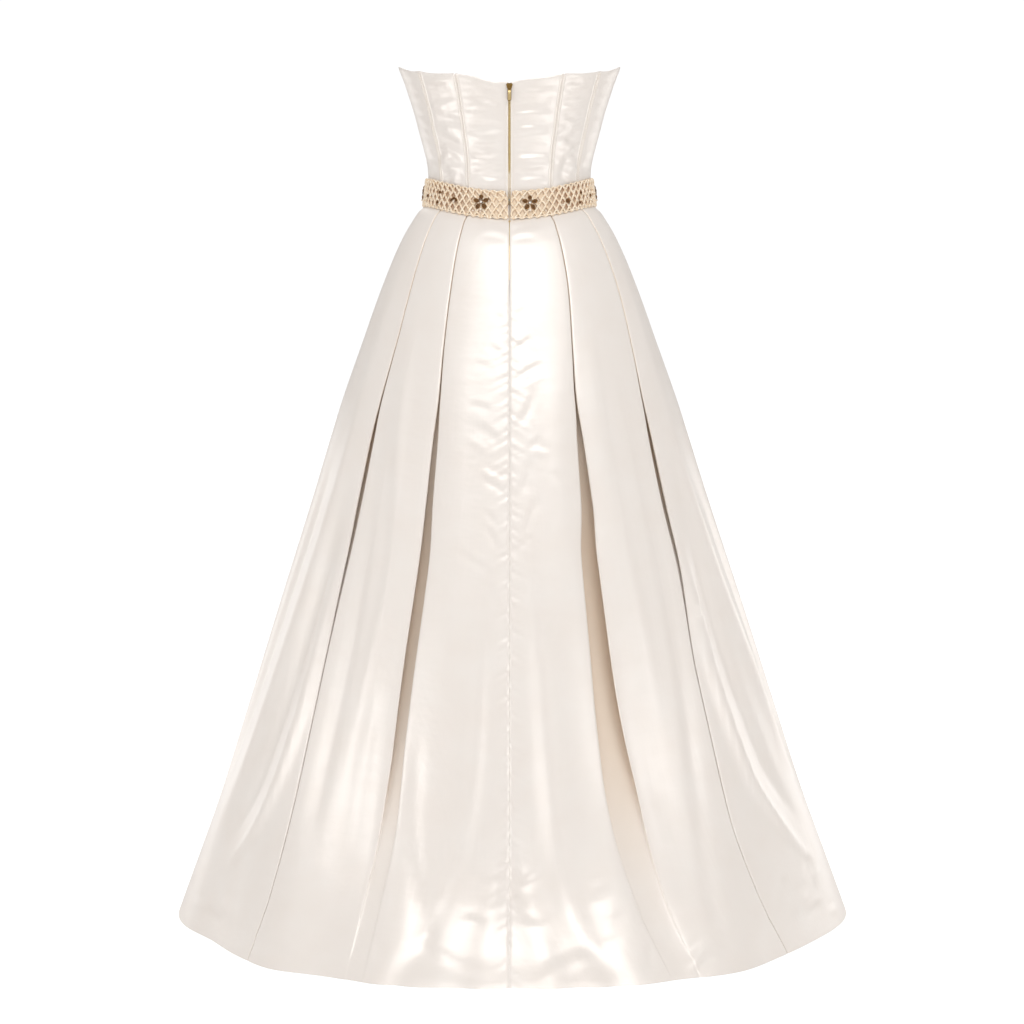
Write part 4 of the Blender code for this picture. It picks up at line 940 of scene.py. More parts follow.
# angle, level, length mm, tilt from level in degrees, half width mm, depth mm, bow mm
BODICE_CREASES = (
    (15.5, 0.146, 44, 8, 7.5, 0.9, 2), (15.0, 0.134, 40, 6, 7.5, -0.8, 2),
    (15.5, 0.105, 56, -2, 7.5, 1.3, 2), (15.0, 0.091, 58, 2, 7.5, -1.1, -1),
    (16.0, 0.073, 54, 0, 7.5, 1.3, 1), (16.5, 0.057, 52, 2, 7.5, -1.0, -1),
    (17.5, 0.036, 52, 2, 7.5, 1.4, 2), (19.0, 0.022, 40, 4, 6.8, -0.9, 1),
    (10.0, 0.155, 30, 14, 6.0, 0.7, 2), (-12.5, 0.151, 44, 10, 6.0, -0.9, 2),
    (-15.0, 0.140, 50, 4, 7.5, 0.8, 1), (-15.5, 0.121, 50, -2, 7.5, -0.8, 1),
    (-15.5, 0.108, 56, 2, 7.5, 1.0, -1), (-15.5, 0.095, 54, 4, 7.5, -1.1, 1),
    (-16.2, 0.072, 56, 2, 7.5, 1.4, 2), (-16.8, 0.055, 54, 0, 7.5, -1.1, 1),
    (-16.0, 0.036, 56, 0, 7.5, 1.5, 2), (-15.0, 0.021, 44, 4, 6.8, -1.0, 1),
    (42.0, 0.172, 44, 6, 6.0, -1.0, 2), (43.0, 0.160, 44, 22, 7.5, 1.1, 2),
    (47.5, 0.134, 30, 26, 7.5, -1.3, 2), (41.0, 0.116, 46, 28, 9.0, 1.5, 2),
    (38.0, 0.102, 34, 18, 6.8, -1.4, 2), (44.0, 0.086, 46, 30, 7.5, 1.6, 2),
    (41.0, 0.071, 40, 32, 6.8, -1.3, 2), (50.0, 0.060, 34, -50, 6.8, -1.5, 1),
    (44.0, 0.050, 44, 44, 6.8, -1.5, 1), (48.0, 0.036, 26, 50, 8.2, 1.7, 1),
    (39.0, 0.036, 34, 52, 7.5, 1.6, 1), (42.0, 0.022, 40, 20, 6.0, 0.9, 1),
    (-36.0, 0.168, 40, -16, 6.0, 1.0, 2), (-42.0, 0.152, 44, -12, 7.5, 0.9, 2),
    (-43.0, 0.122, 46, -8, 9.0, 0.8, 2), (-36.5, 0.096, 30, -42, 6.0, 1.1, 2),
    (-44.5, 0.089, 34, -46, 7.5, 1.3, 2), (-42.0, 0.077, 42, 40, 6.8, -1.4, 1),
    (-46.0, 0.064, 42, -48, 6.8, 1.5, 1), (-49.0, 0.052, 40, 46, 6.8, -1.4, 1),
    (-40.0, 0.044, 34, -56, 7.5, 1.1, 1), (-43.0, 0.029, 34, 50, 6.8, 1.7, 1),
    (-53.5, 0.038, 30, -46, 6.8, 1.4, 1), (-38.0, 0.018, 30, 36, 6.0, -0.9, 1),
    (64.0, 0.040, 34, 26, 9.0, 0.8, 2), (-64.0, 0.044, 34, -26, 9.0, 0.8, 2),
    (76.0, 0.062, 50, 10, 12.0, 0.6, 3), (-78.0, 0.058, 50, -10, 12.0, 0.6, 3),
    (120.0, 0.050, 60, 16, 10.5, 0.9, 3), (-121.0, 0.046, 60, -14, 10.5, 0.9, 3),
    (138.0, 0.066, 50, 10, 9.0, 0.8, 3), (-136.0, 0.070, 50, -12, 9.0, 0.8, 3),
    (146.0, 0.030, 40, -8, 7.5, 0.8, 2), (-144.0, 0.032, 40, 8, 7.5, 0.8, 2),
    (170.0, 0.060, 50, 6, 9.0, 0.9, 3), (-171.0, 0.038, 50, -6, 9.0, 1.0, 3),
    (174.0, 0.022, 44, 4, 7.5, 0.8, 2), (178.0, 0.092, 44, 2, 9.0, 0.7, -3),
)

# How the top edge rises and sinks where seams and bones meet it.
# angle, height mm, half width in degrees
NECK_WAVES = (
    (30.0, 1.1, 4.0), (-30.0, 1.0, 4.0), (12.0, -0.7, 5.0), (-20.0, -0.6, 5.0), (56.0, 1.4, 3.5),
    (-56.0, 1.0, 3.5), (44.0, -1.0, 6.0), (-43.0, -0.9, 6.0), (104.0, 1.0, 4.0), (-104.0, 1.0, 4.0),
    (152.0, 0.8, 4.0), (-152.0, 0.8, 4.0),
)


def neck_height(angle):
    """The top edge of the bodice, with its small unevenness."""
    total = along(NECKLINE, 1, np.abs(angle))
    for at_angle, height, width in NECK_WAVES:
        total = total + height * MM * np.exp(-(turned(angle - at_angle) / width) ** 2)
    return total


def bodice_middle(angle, height):
    """The bodice's middle surface: ovals, and a bell for each cup."""
    place, out = section(BODICE_SECTIONS, angle, height)
    from_cup = (np.abs(angle) - CUP_ANGLE) / CUP_SPREAD
    above = (height - CUP_LEVEL) / CUP_HEIGHT
    fullness = CUP_FULLNESS * np.exp(-from_cup ** 2 - above ** 2)
    return np.concatenate([place + out * fullness[..., None], height[..., None]], axis=-1)


print("the bodice rises", round(float(neck_height(np.array(90.0))) * 1000), "mm over the waist at the side")

# %% [markdown]
# Each panel is a grid between its two seams. Near a seam four things are added to its lift: the channel,
# a groove where the seam itself sinks in, and two dips under the topstitching. Dips of a tenth of a
# millimetre matter, because on satin it is the turn of the surface that the eye reads, and not its depth.
# Fine level ripples run between the bones of the back. The two backs stand apart beside the zip and close
# behind the belt, where its hook holds them together.

# %% Bodice panels
# Each dip, groove and roll has a depth and a reach.
SEAM_GROOVE = (0.8 * MM, 0.7 * MM)
STITCH_LINES = (1.2 * MM, 3.1 * MM)
STITCH_DIP = (0.12 * MM, 0.35 * MM)
PLACKET_LINE = 6.0 * MM
PLACKET_HEIGHT = 0.25 * MM
PLACKET_ROLL = (0.9 * MM, 0.9 * MM)
PLACKET_DIP = (0.16 * MM, 0.45 * MM)
TOP_ROLL = (0.7 * MM, 1.2 * MM)
BODICE_CLOTH = 0.9 * MM
EDGE_COLUMNS = 10
EDGE_SHARE = 0.11


def dip(away, depth, reach):
    """A dip in the cloth: depth times exp(-(away / reach) squared)."""
    return depth * np.exp(-(away / reach) ** 2)


def seam_lift(distance):
    """Lift beside a seam: a channel that ends in a soft step, the seam's groove and two stitched dips."""
    channel = CHANNEL_HEIGHT * (1 - smooth((distance - CHANNEL_HALF) / CHANNEL_EDGE))
    dips = sum(dip(distance - line, *STITCH_DIP) for line in STITCH_LINES)
    return channel - dip(distance, *SEAM_GROOVE) - dips


def placket_lift(distance):
    """Lift beside the zip: the turned edge rounds off, and a line of stitching sinks 6 mm from it."""
    raised = PLACKET_HEIGHT * (1 - smooth((distance - PLACKET_LINE) / CHANNEL_EDGE))
    return raised - dip(distance - ZIP_OPENING, *PLACKET_ROLL) - dip(distance - PLACKET_LINE, *PLACKET_DIP)


DEGREE_ROUND = 2.0 * MM

# spacing mm, height mm, slope, phase
DRAWN_WAVES = ((10.5, 0.26, 0.10, 0.3), (15.5, 0.42, -0.16, 1.9), (7.5, 0.10, 0.22, 4.0))


def drawn_satin(angle, height, share):
    """Fine ripples between two bones: level waves that bend and come and go round the body."""
    total = np.zeros(angle.shape)
    across = angle * DEGREE_ROUND
    for spacing, rise, slope, phase in DRAWN_WAVES:
        bend = 1.4 * np.sin(across / (17 * MM) + phase) + 0.9 * np.sin(height / (23 * MM) + 2 * phase)
        swell = 0.55 + 0.45 * np.sin(across / (11 * MM) - height / (31 * MM) + 3 * phase)
        turn = 2 * math.pi * (height + slope * across) / (spacing * MM) + bend
        total = total + rise * MM * swell * np.sin(turn)
    on_back = 1 - 0.75 * smooth((np.abs(angle) - SIDE_BACK_SEAM) / 20)
    return total * on_back * smooth(4 * share) * smooth(4 * (1 - share))


def near_edges(steps, edge_steps, edge_share):
    """Shares from 0 to 1 that crowd at both ends, where the seams are."""
    edge = np.linspace(0, edge_share, edge_steps, endpoint=False)
    between = np.linspace(edge_share, 1 - edge_share, steps)
    return np.concatenate([edge, between, 1 - edge[::-1]])


def edge_gap(edge, height):
    """Half the gap at a panel's edge: open beside the zip down to the belt, and narrow at every seam."""
    return along(ZIP_GAPS, 1, height) if edge == 0 else SEAM_GAP / 2


def bodice_panel(name, start, end, rows, steps):
    """One panel between two seams, in the order of rising angle."""
    across = near_edges(steps, EDGE_COLUMNS, EDGE_SHARE)[None, :]
    share = np.linspace(0, 1, rows)[:, None]
    angle = np.repeat(start + (end - start) * across, rows, axis=0)
    for _ in range(2):
        top = neck_height(turned(angle))
        bottom = SEAM_LEVEL + waist_dip(angle, SEAM_LEVEL) + SEAM_GAP / 2
        height = top + (bottom - top) * share
        first = height[:, :1]
        last = height[:, -1:]
        low = start + edge_gap(start, first) * degrees_per_metre(BODICE_SECTIONS, start, first)
        high = end - edge_gap(end, last) * degrees_per_metre(BODICE_SECTIONS, end, last)
        angle = low + (high - low) * across
    middle = bodice_middle(turned(angle), height)
    lift = np.full(angle.shape, BODICE_WALL / 2)
    for edge in (start, end):
        distance = np.abs(angle - edge) / degrees_per_metre(BODICE_SECTIONS, edge, height)
        lift = lift + (placket_lift(distance) if edge == 0 else seam_lift(distance))
    lift = lift + creases(BODICE_CREASES, BODICE_SECTIONS, turned(angle), height)
    lift = lift + drawn_satin(turned(angle), height, across)
    lift = lift - dip(top - height, *TOP_ROLL)
    made = cloth(name, middle, lift, satin, thick=BODICE_CLOTH)
    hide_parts(name)
    return made


bodice_panel("bodice_back_L", 0, BACK_SEAM, 96, 40)
bodice_panel("bodice_back_R", -BACK_SEAM, 0, 96, 40)
bodice_panel("bodice_side_back_L", BACK_SEAM, SIDE_BACK_SEAM, 84, 34)
bodice_panel("bodice_side_back_R", -SIDE_BACK_SEAM, -BACK_SEAM, 84, 34)
bodice_panel("bodice_side_L", SIDE_BACK_SEAM, SIDE_FRONT_SEAM, 60, 30)
bodice_panel("bodice_side_R", -SIDE_FRONT_SEAM, -SIDE_BACK_SEAM, 60, 30)
bodice_panel("bodice_side_front_L", SIDE_FRONT_SEAM, FRONT_SEAM, 60, 30)
bodice_panel("bodice_side_front_R", -FRONT_SEAM, -SIDE_FRONT_SEAM, 60, 30)
bodice_panel("bodice_centre_front", FRONT_SEAM, 360 - FRONT_SEAM, 60, 36)

# %% [markdown]
# ## The belt's lattice of cords
#
# The belt is a band of beaded cords crossed over and under on a fabric backing. Each cord is a tube: a
# path that climbs the band while it runs round the waist, with a circle carried along it. Its radius
# swells and thins every couple of millimetres, which reads as the row of seed beads that it is, and a
# slow wave lifts it over one crossing and under the next.

# %% Belt shape
BELT_TOP = 0.0394
BELT_BOTTOM = -0.0015
BELT_BASE = 1.6 * MM
CORD_HEIGHT = 1.2 * MM
LATTICE_COLUMNS = 136
LATTICE_ROWS = 5

# share of the belt's height from the top, half the gap at the wearer's left, at the wearer's right
BELT_ENDS = (
    (0.00, 0.0062, 0.0041),
    (0.20, 0.0032, 0.0024),
    (0.30, 0.0015, 0.0013),
    (0.60, 0.0020, 0.0020),
    (1.00, 0.0004, 0.0004),
)


def belt_face(angle, level, out_by):
    """A point of the belt, moved straight out from its plain inner face."""
    place, out = section(BELT_SECTIONS, angle, level)
    place = place + out * np.asarray(out_by)[..., None]
    return np.concatenate([place, (level + waist_dip(angle, SEAM_LEVEL))[..., None]], axis=-1)


def belt_place(column, row):
    """Angle and level of a place in the lattice, in columns round it and rows down it."""
    share = np.clip(row / LATTICE_ROWS, 0, 1)
    level = BELT_TOP + (BELT_BOTTOM - BELT_TOP) * share
    step = degrees_per_metre(BELT_SECTIONS, 0.0, level)
    low = along(BELT_ENDS, 1, share) * step
    high = 360 - along(BELT_ENDS, 2, share) * step
    return low + (high - low) * column / LATTICE_COLUMNS, level


def tubes(paths, radius, sides):
    """Tubes round many paths at once: a circle carried along each, in the frame of the path and the belt.

    paths is (tubes, points, 3) and radius is (tubes, points). Each end closes with a point.
    """
    count, steps = paths.shape[:2]
    ahead = np.gradient(paths, axis=1)
    ahead = ahead / np.linalg.norm(ahead, axis=-1, keepdims=True)
    out = paths * np.array([1.0, 1.0, 0.0])
    out = out / np.linalg.norm(out, axis=-1, keepdims=True)
    across = np.cross(ahead, out)
    across = across / np.linalg.norm(across, axis=-1, keepdims=True)
    up = np.cross(across, ahead)
    turn = 2 * math.pi * np.arange(sides) / sides
    circle = (across[:, :, None] * np.cos(turn)[:, None] + up[:, :, None] * np.sin(turn)[:, None])
    rings = paths[:, :, None] + circle * radius[..., None, None]
    block = steps * sides + 2
    points = np.concatenate([rings.reshape(count, -1, 3), paths[:, :1], paths[:, -1:]], axis=1)
    index = np.arange(steps * sides).reshape(steps, sides)
    beside = np.roll(index, -1, axis=1)
    wall = np.stack([index[:-1], index[1:], beside[1:], beside[:-1]], axis=-1).reshape(-1, 4)
    first = np.stack([np.full(sides, steps * sides), index[0], beside[0]], axis=-1)
    last = np.stack([np.full(sides, steps * sides + 1), beside[-1], index[-1]], axis=-1)
    starts = (np.arange(count) * block)[:, None, None]
    faces = [(group[None] + starts).reshape(-1, group.shape[1]) for group in (wall, first, last)]
    return points.reshape(-1, 3), faces


print("a mesh of the lattice is", round(360 / LATTICE_COLUMNS * 2, 1), "degrees wide")

# %% [markdown]
# The belt's colours run from a pale champagne cord to a painted brown in the holes at the sides, where
# the lattice is stretched open. The cord is glossy thread and glass beads, so it has a low roughness and a
# soft coat. The backing is plain felt. An attribute paints shade on it: a painted shadow under the cords,
# and painted shade that deepens towards the sides of the belt.

# %% Belt materials
BEAD = 2.3 * MM


def cord_finish():
    """Champagne seed beads on thread: pale, glossy, a little different from bead to bead."""
    made, shader = surface("champagne_seed_beads", {
        "Base Color": linear("#F2D8B4"),
        "Roughness": 0.38,
        "IOR": 1.5,
        "Specular IOR Level": 0.5,
        "Subsurface Weight": 0.0,
        "Coat Weight": 0.25,
        "Coat Roughness": 0.2,
    })
    place = add(made, "TexCoord")
    speckle = add(made, "TexNoise", {"Scale": 1 / BEAD, "Detail": 2.0}, {"Vector": place.outputs["Object"]})
    tone = add(made, "ValToRGB", links={"Fac": speckle.outputs["Fac"]})
    tone.color_ramp.elements[0].position = 0.3
    tone.color_ramp.elements[0].color = linear("#E6C69E")
    tone.color_ramp.elements[1].position = 0.62
    tone.color_ramp.elements[1].color = linear("#FFF3E0")
    thread = add(made, "TexNoise", {"Scale": 1 / (0.5 * MM), "Detail": 2.0},
                 {"Vector": place.outputs["Object"]})
    bump = add(made, "Bump", {"Strength": 0.25, "Distance": 0.15 * MM}, {"Height": thread.outputs["Fac"]})
    feed(made, shader, Base_Color=tone.outputs["Color"], Normal=bump.outputs["Normal"])
    return made


def backing_finish():
    """Wool felt behind the lattice: pale near the centre back, with painted shade under the cords and at the
    sides.
    """
    made, shader = surface("belt_felt", {
        "Base Color": linear("#D9B48A"),
        "Roughness": 0.85,
        "IOR": 1.45,
        "Sheen Weight": 0.2,
    })
    place = add(made, "TexCoord")
    painted_shade = add(made, "Attribute", attribute_name="shade")
    fibre = add(made, "TexNoise", {"Scale": 1 / (1.2 * MM), "Detail": 4.0},
                {"Vector": place.outputs["Object"]})
    # Painted shade: the felt's pale tone runs to brown where the attribute marks it as shadowed.
    tone = add(made, "Mix", {6: linear("#F8E6CE"), 7: linear("#8F5F36")}, {0: painted_shade.outputs["Fac"]},
               data_type="RGBA")
    worn = add(made, "Mix", {0: 0.06, 7: linear("#8A5A35")}, {6: tone.outputs[2]},
               data_type="RGBA", blend_type="MULTIPLY")
    bump = add(made, "Bump", {"Strength": 0.4, "Distance": 0.3 * MM}, {"Height": fibre.outputs["Fac"]})
    feed(made, shader, Base_Color=worn.outputs[2], Normal=bump.outputs["Normal"])
    return made


cord_beads = cord_finish()
felt = backing_finish()
print("belt materials ready")

# %% Belt cords and backing
CORD_RADIUS = 1.5 * MM
CORD_MIDDLE = 1.75 * MM
WEAVE_LIFT = 0.35 * MM
CORD_STEPS = 72
CORD_SIDES = 8
BEAD_DEPTH = 0.17
# Where cords end, in rows and columns of the lattice, and the fewest rows that a cord climbs.
CORD_ENDS_ROW = 0.12
CORD_ENDS_COLUMN = 0.25
FEWEST_ROWS = 0.5
BORDER_ENDS = 0.15
BORDER_ROW = 0.16
BORDER_RADIUS = 1.0 * MM
BORDER_WOBBLE = 0.13
BORDER_STEPS = 1300
BACKING = 1.1 * MM
# Painted shade on the felt: a base share, a painted shadow under the cords, and more shade at the sides.
FELT_SHADE = 0.06
CORD_SHADE = 0.70
SIDE_SHADE = 0.55
SIDE_CORD_SHADE = 0.20
SIDE_STARTS = 16
SIDE_FADE = 26


def bead_radius(travelled, radius=CORD_RADIUS):
    """A radius that swells once for each bead: 1 - depth + depth times the absolute sine."""
    return radius * (1 - BEAD_DEPTH + BEAD_DEPTH * 1.4 * np.abs(np.sin(math.pi * travelled / BEAD)))


def lattice_cords(name, direction):
    """All the cords that climb one way. Cord k is at column k + direction x row."""
    starts = np.arange(-LATTICE_ROWS - 1, LATTICE_COLUMNS + LATTICE_ROWS + 2)
    starts = starts[starts % 2 == 0]
    first = np.clip(np.where(direction > 0, -starts, starts - LATTICE_COLUMNS), 0, LATTICE_ROWS)
    last = np.clip(np.where(direction > 0, LATTICE_COLUMNS - starts, starts), 0, LATTICE_ROWS)
    long_enough = last - first > FEWEST_ROWS
    first = np.maximum(first, CORD_ENDS_ROW)[long_enough, None]
    last = np.minimum(last, LATTICE_ROWS - CORD_ENDS_ROW)[long_enough, None]
    row = first + (last - first) * np.linspace(0, 1, CORD_STEPS)[None, :]
    column = starts[long_enough, None] + direction * row
    column = np.clip(column, CORD_ENDS_COLUMN, LATTICE_COLUMNS - CORD_ENDS_COLUMN)
    angle, level = belt_place(column, row)
    over = WEAVE_LIFT * direction * np.cos(math.pi * (row + 0.5 * (direction < 0)))
    paths = belt_face(angle, level, CORD_MIDDLE + over)
    radius = bead_radius(lengths(paths, 1))
    points, faces = tubes(paths, radius, CORD_SIDES)
    made = piece(name, points, faces, cord_beads, slot="belt_cord")
    print(f"{name}: {len(paths)} cords, {triangles(made)} triangles")
    return made


def border_cord(name, row, radius):
    """One cord round the belt's top or bottom edge, from one end at the centre back to the other."""
    column = np.linspace(BORDER_ENDS, LATTICE_COLUMNS - BORDER_ENDS, BORDER_STEPS)[None, :]
    wobble = BORDER_WOBBLE * np.cos(math.pi * column)
    angle, level = belt_place(column, row + wobble * np.sign(LATTICE_ROWS / 2 - row))
    paths = belt_face(angle, level, np.full_like(angle, CORD_MIDDLE - 0.1 * MM))
    points, faces = tubes(paths, bead_radius(lengths(paths, 1), radius), CORD_SIDES)
    return piece(name, points, faces, cord_beads, slot="belt_cord")


def belt_backing():
    """The fabric band behind the cords, as a closed shell, with painted shade under them and towards the
    sides.
    """
    column, row = np.meshgrid(np.linspace(0, LATTICE_COLUMNS, 545), np.linspace(0.2, LATTICE_ROWS - 0.2, 19))
    angle, level = belt_place(column, row)
    outer = belt_face(angle, level, np.full_like(angle, BACKING))
    inner = belt_face(angle, level, np.full_like(angle, 0.1 * MM))
    rows, columns = outer.shape[:2]
    faces = [grid_quads(rows, columns), grid_quads(rows, columns, rows * columns, flipped=True),
             rim_quads(rows, columns, rows * columns)]
    from_back = np.abs(turned(angle))
    rising = (column + row) / 2 % 1
    falling = (column - row) / 2 % 1
    # Painted shade: a painted shadow under the cords, and more shade towards the sides of the belt.
    painted_cord_shadow = smooth(1 - np.minimum(rising, 1 - falling) / 0.5)
    sideways = smooth((from_back - SIDE_STARTS) / SIDE_FADE)
    at_sides = SIDE_SHADE - SIDE_CORD_SHADE * painted_cord_shadow
    painted_shade = FELT_SHADE + CORD_SHADE * painted_cord_shadow + sideways * at_sides
    points = np.concatenate([outer.reshape(-1, 3), inner.reshape(-1, 3)])
    cut = np.stack([lengths(outer, 1), -lengths(outer, 0)], axis=-1).reshape(-1, 2)
    made = piece("belt_backing", points, faces, felt, uv=np.concatenate([cut, cut]),
                 shades=np.concatenate([painted_shade.reshape(-1)] * 2), slot="belt_cord")
    return made


belt_cords = lattice_cords("belt_cords_rising", 1)
lattice_cords("belt_cords_falling", -1)
border_cord("belt_border_top", BORDER_ROW, BORDER_RADIUS)
border_cord("belt_border_bottom", LATTICE_ROWS - BORDER_ROW, BORDER_RADIUS)
belt_backing()
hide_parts("belt")

# %% [markdown]
# ## Flowers, stones and pearls
#
# Each flower is five dark bronze stones in metal settings round a clear crystal, with a pearl below it.
# A stone is a stack of outlines: the same leaf shape drawn again and again, smaller and higher, first the
# metal rim that grips it, then its facets and its flat table. One table places every motif on the belt.

# %% Stone materials
def stone_finish():
    """Smoked glass, cut and foiled: dark brown, mirror smooth, with a painted warm glint in its colour."""
    made, shader = surface("smoked_cut_glass", {
        "Base Color": linear("#5A4030"),
        "Roughness": 0.12,
        "IOR": 1.6,
        "Metallic": 0.35,
        "Specular IOR Level": 0.3,
        "Coat Weight": 0.1,
        "Coat Roughness": 0.03,
    })
    place = add(made, "TexCoord")
    # Painted glint: Voronoi patches run the brown from nearly black to a lighter warm brown.
    depth = add(made, "TexVoronoi", {"Scale": 1 / (1.6 * MM)}, {"Vector": place.outputs["Object"]})
    tone = add(made, "ValToRGB", links={"Fac": depth.outputs["Distance"]})
    tone.color_ramp.elements[0].color = linear("#301C10")
    tone.color_ramp.elements[1].color = linear("#8A6038")
    feed(made, shader, Base_Color=tone.outputs["Color"])
    return made


def setting_finish():
    """Antiqued bronze: cast metal, dark in its hollows and rubbed bright on its edges."""
    made, shader = surface("antiqued_bronze", {
        "Base Color": linear("#6B5440"),
        "Metallic": 0.9,
        "Roughness": 0.34,
    })
    place = add(made, "TexCoord")
    patina = add(made, "TexNoise", {"Scale": 1 / (1.4 * MM), "Detail": 3.0},
                 {"Vector": place.outputs["Object"]})
    tone = add(made, "ValToRGB", links={"Fac": patina.outputs["Fac"]})
    tone.color_ramp.elements[0].position = 0.35
    tone.color_ramp.elements[0].color = linear("#54391F")
    tone.color_ramp.elements[1].position = 0.65
    tone.color_ramp.elements[1].color = linear("#A5794A")
    feed(made, shader, Base_Color=tone.outputs["Color"])
    return made


def crystal_finish():
    """Clear foiled crystal: nearly white and mirror bright."""
    made, shader = surface("foiled_crystal", {
        "Base Color": linear("#F4F1EC"),
        "Metallic": 0.25,
        "Roughness": 0.06,
        "IOR": 1.55,
        "Coat Weight": 1.0,
        "Coat Roughness": 0.02,
    })
    _, tone = mottled(made, 1.0 * MM, "#FFFFFF", "#DCD3C6")
    feed(made, shader, Base_Color=tone)
    return made


def pearl_finish():
    """Glass pearl: cream lacquer under a clear coat, faintly rosy."""
    made, shader = surface("glass_pearl", {
        "Base Color": linear("#F6EBDD"),
        "Roughness": 0.25,
        "IOR": 1.55,
        "Coat Weight": 0.8,
        "Coat Roughness": 0.08,
        "Sheen Weight": 0.2,
    })
    _, tone = mottled(made, 3 * MM, "#F9F0E4", "#EFDDCB")
    feed(made, shader, Base_Color=tone)
    return made


smoked_glass = stone_finish()
bronze = setting_finish()
crystal = crystal_finish()
pearl = pearl_finish()
print("stone materials ready")

# %% Stacks of outlines
MOTIF_GAP = 0.3 * MM


def on_belt(angle, level, out_by=BELT_BASE + CORD_HEIGHT + MOTIF_GAP):
    """A frame on the belt: a place, and the directions right, up and out, with up along its slope."""
    spot = belt_face(np.array(angle), np.array(level), 0.0)
    above = belt_face(np.array(angle), np.array(level + MM), 0.0)
    up = (above - spot) / np.linalg.norm(above - spot)
    _, flat_out = section(BELT_SECTIONS, np.array(angle), np.array(level))
    right = np.array([flat_out[1], -flat_out[0], 0.0])
    out = np.cross(up, right)
    return spot + out * out_by, np.stack([right, up, out])


def leaf(steps, half_length, half_width, point=1.5):
    """A leaf outline: x = cosine, y = sine times the absolute sine to a power that sharpens its tips."""
    turn = 2 * math.pi * np.arange(steps) / steps
    return np.stack([
        half_length * np.cos(turn),
        half_width * np.sin(turn) * np.abs(np.sin(turn)) ** (point - 1),
    ], axis=-1)


def stack(outline, layers):
    """A closed solid: the outline scaled and raised for each layer (scale, height), with points as ends."""
    steps = len(outline)
    rings = [np.concatenate([outline * scale, np.full((steps, 1), height)], axis=1)
             for scale, height in layers]
    bottom = [[0.0, 0.0, layers[0][1]]]
    top = [[0.0, 0.0, layers[-1][1]]]
    points = np.concatenate([*rings, bottom, top])
    index = np.arange(len(layers) * steps).reshape(len(layers), steps)
    beside = np.roll(index, -1, axis=1)
    wall = np.stack([index[:-1], beside[:-1], beside[1:], index[1:]], axis=-1).reshape(-1, 4)
    foot = np.stack([np.full(steps, len(points) - 2), beside[0], index[0]], axis=-1)
    crown = np.stack([np.full(steps, len(points) - 1), index[-1], beside[-1]], axis=-1)
    return points, [wall, foot, crown]


def placed(shape, spot, axes, at=(0.0, 0.0), turn=0.0):
    """A shape turned in its own plane, moved in it, and set on the belt's frame."""
    points, faces = shape
    cosine = math.cos(turn)
    sine = math.sin(turn)
    x = points[:, 0] * cosine - points[:, 1] * sine + at[0]
    y = points[:, 0] * sine + points[:, 1] * cosine + at[1]
    local = np.stack([x, y, points[:, 2]], axis=-1)
    return spot + local @ axes, faces


def joined(shapes):
    """Many (points, faces) as one, with their indices moved up."""
    points = np.concatenate([shape[0] for shape in shapes])
    starts = np.cumsum([0] + [len(shape[0]) for shape in shapes[:-1]])
    by_size = {}
    for start, (_, faces) in zip(starts, shapes):
        for group in faces:
            by_size.setdefault(group.shape[1], []).append(group + start)
    return points, [np.concatenate(groups) for groups in by_size.values()]


print("leaf, stack, placed and joined make every stone")

# %% Motifs on the belt
# name, form, angle, level
BELT_MOTIFS = (
    ("flower_back_L", "flower", 18.8, 0.0205),
    ("flower_back_R", "flower", -13.5, 0.0205),
    ("flower_side_L", "flower", 92.0, 0.0190),
    ("flower_side_R", "flower", -92.0, 0.0190),
    ("flower_front_L", "flower", 148.0, 0.0190),
    ("flower_front_R", "flower", -148.0, 0.0190),
    ("arch_motif", "arch", 39.2, 0.0150),
    ("round_stone_back", "round", -41.5, 0.0150),
    ("round_stone_front", "round", 180.0, 0.0190),
    ("round_stone_side_L", "round", 119.0, 0.0190),
    ("round_stone_side_R", "round", -119.0, 0.0190),
    ("small_stone_1", "small", 52.8, 0.0235),
    ("small_stone_2", "small", 54.5, 0.0090),
    ("small_stone_3", "small", 69.2, 0.0145),
    ("small_stone_4", "small", -55.0, 0.0225),
    ("small_stone_5", "small", -53.0, 0.0090),
    ("small_stone_6", "small", -68.2, 0.0154),
    ("small_stone_7", "small", 165.0, 0.0190),
    ("small_stone_8", "small", -165.0, 0.0190),
)
PETALS = 5
PETAL_OUT = 7.6 * MM
ARCH_OUT = 4.6 * MM
PEARL_OUT = 3.4 * MM
# half length mm, half width mm, sharpness of the tips
TOP_PETAL = (3.2, 3.2, 1.0)
PETAL = (4.5, 3.1, 1.25)


def set_stone(steps, half_length, half_width, point, lift=0.0):
    """A stone in its setting: the metal cup with its rim, then the glass with facets and a table."""
    rim = leaf(steps, half_length, half_width, point)
    cup = stack(rim, ((0.9, lift), (1.0, lift + 0.3 * MM), (1.0, lift + 1.0 * MM), (0.9, lift + 1.35 * MM),
                      (0.72, lift + 1.15 * MM), (0.70, lift + 0.6 * MM)))
    glass = stack(rim, ((0.70, lift + 0.7 * MM), (0.72, lift + 1.15 * MM), (0.42, lift + 1.9 * MM),
                        (0.40, lift + 1.95 * MM)))
    return cup, glass


def ball(radius, height, steps=12, rings=7):
    """A small sphere as a stack of circles."""
    turn = np.linspace(0.06, math.pi - 0.06, rings)
    layers = [(float(np.sin(t)), height - radius * float(np.cos(t))) for t in turn]
    return stack(leaf(steps, radius, radius, 1.0), layers)


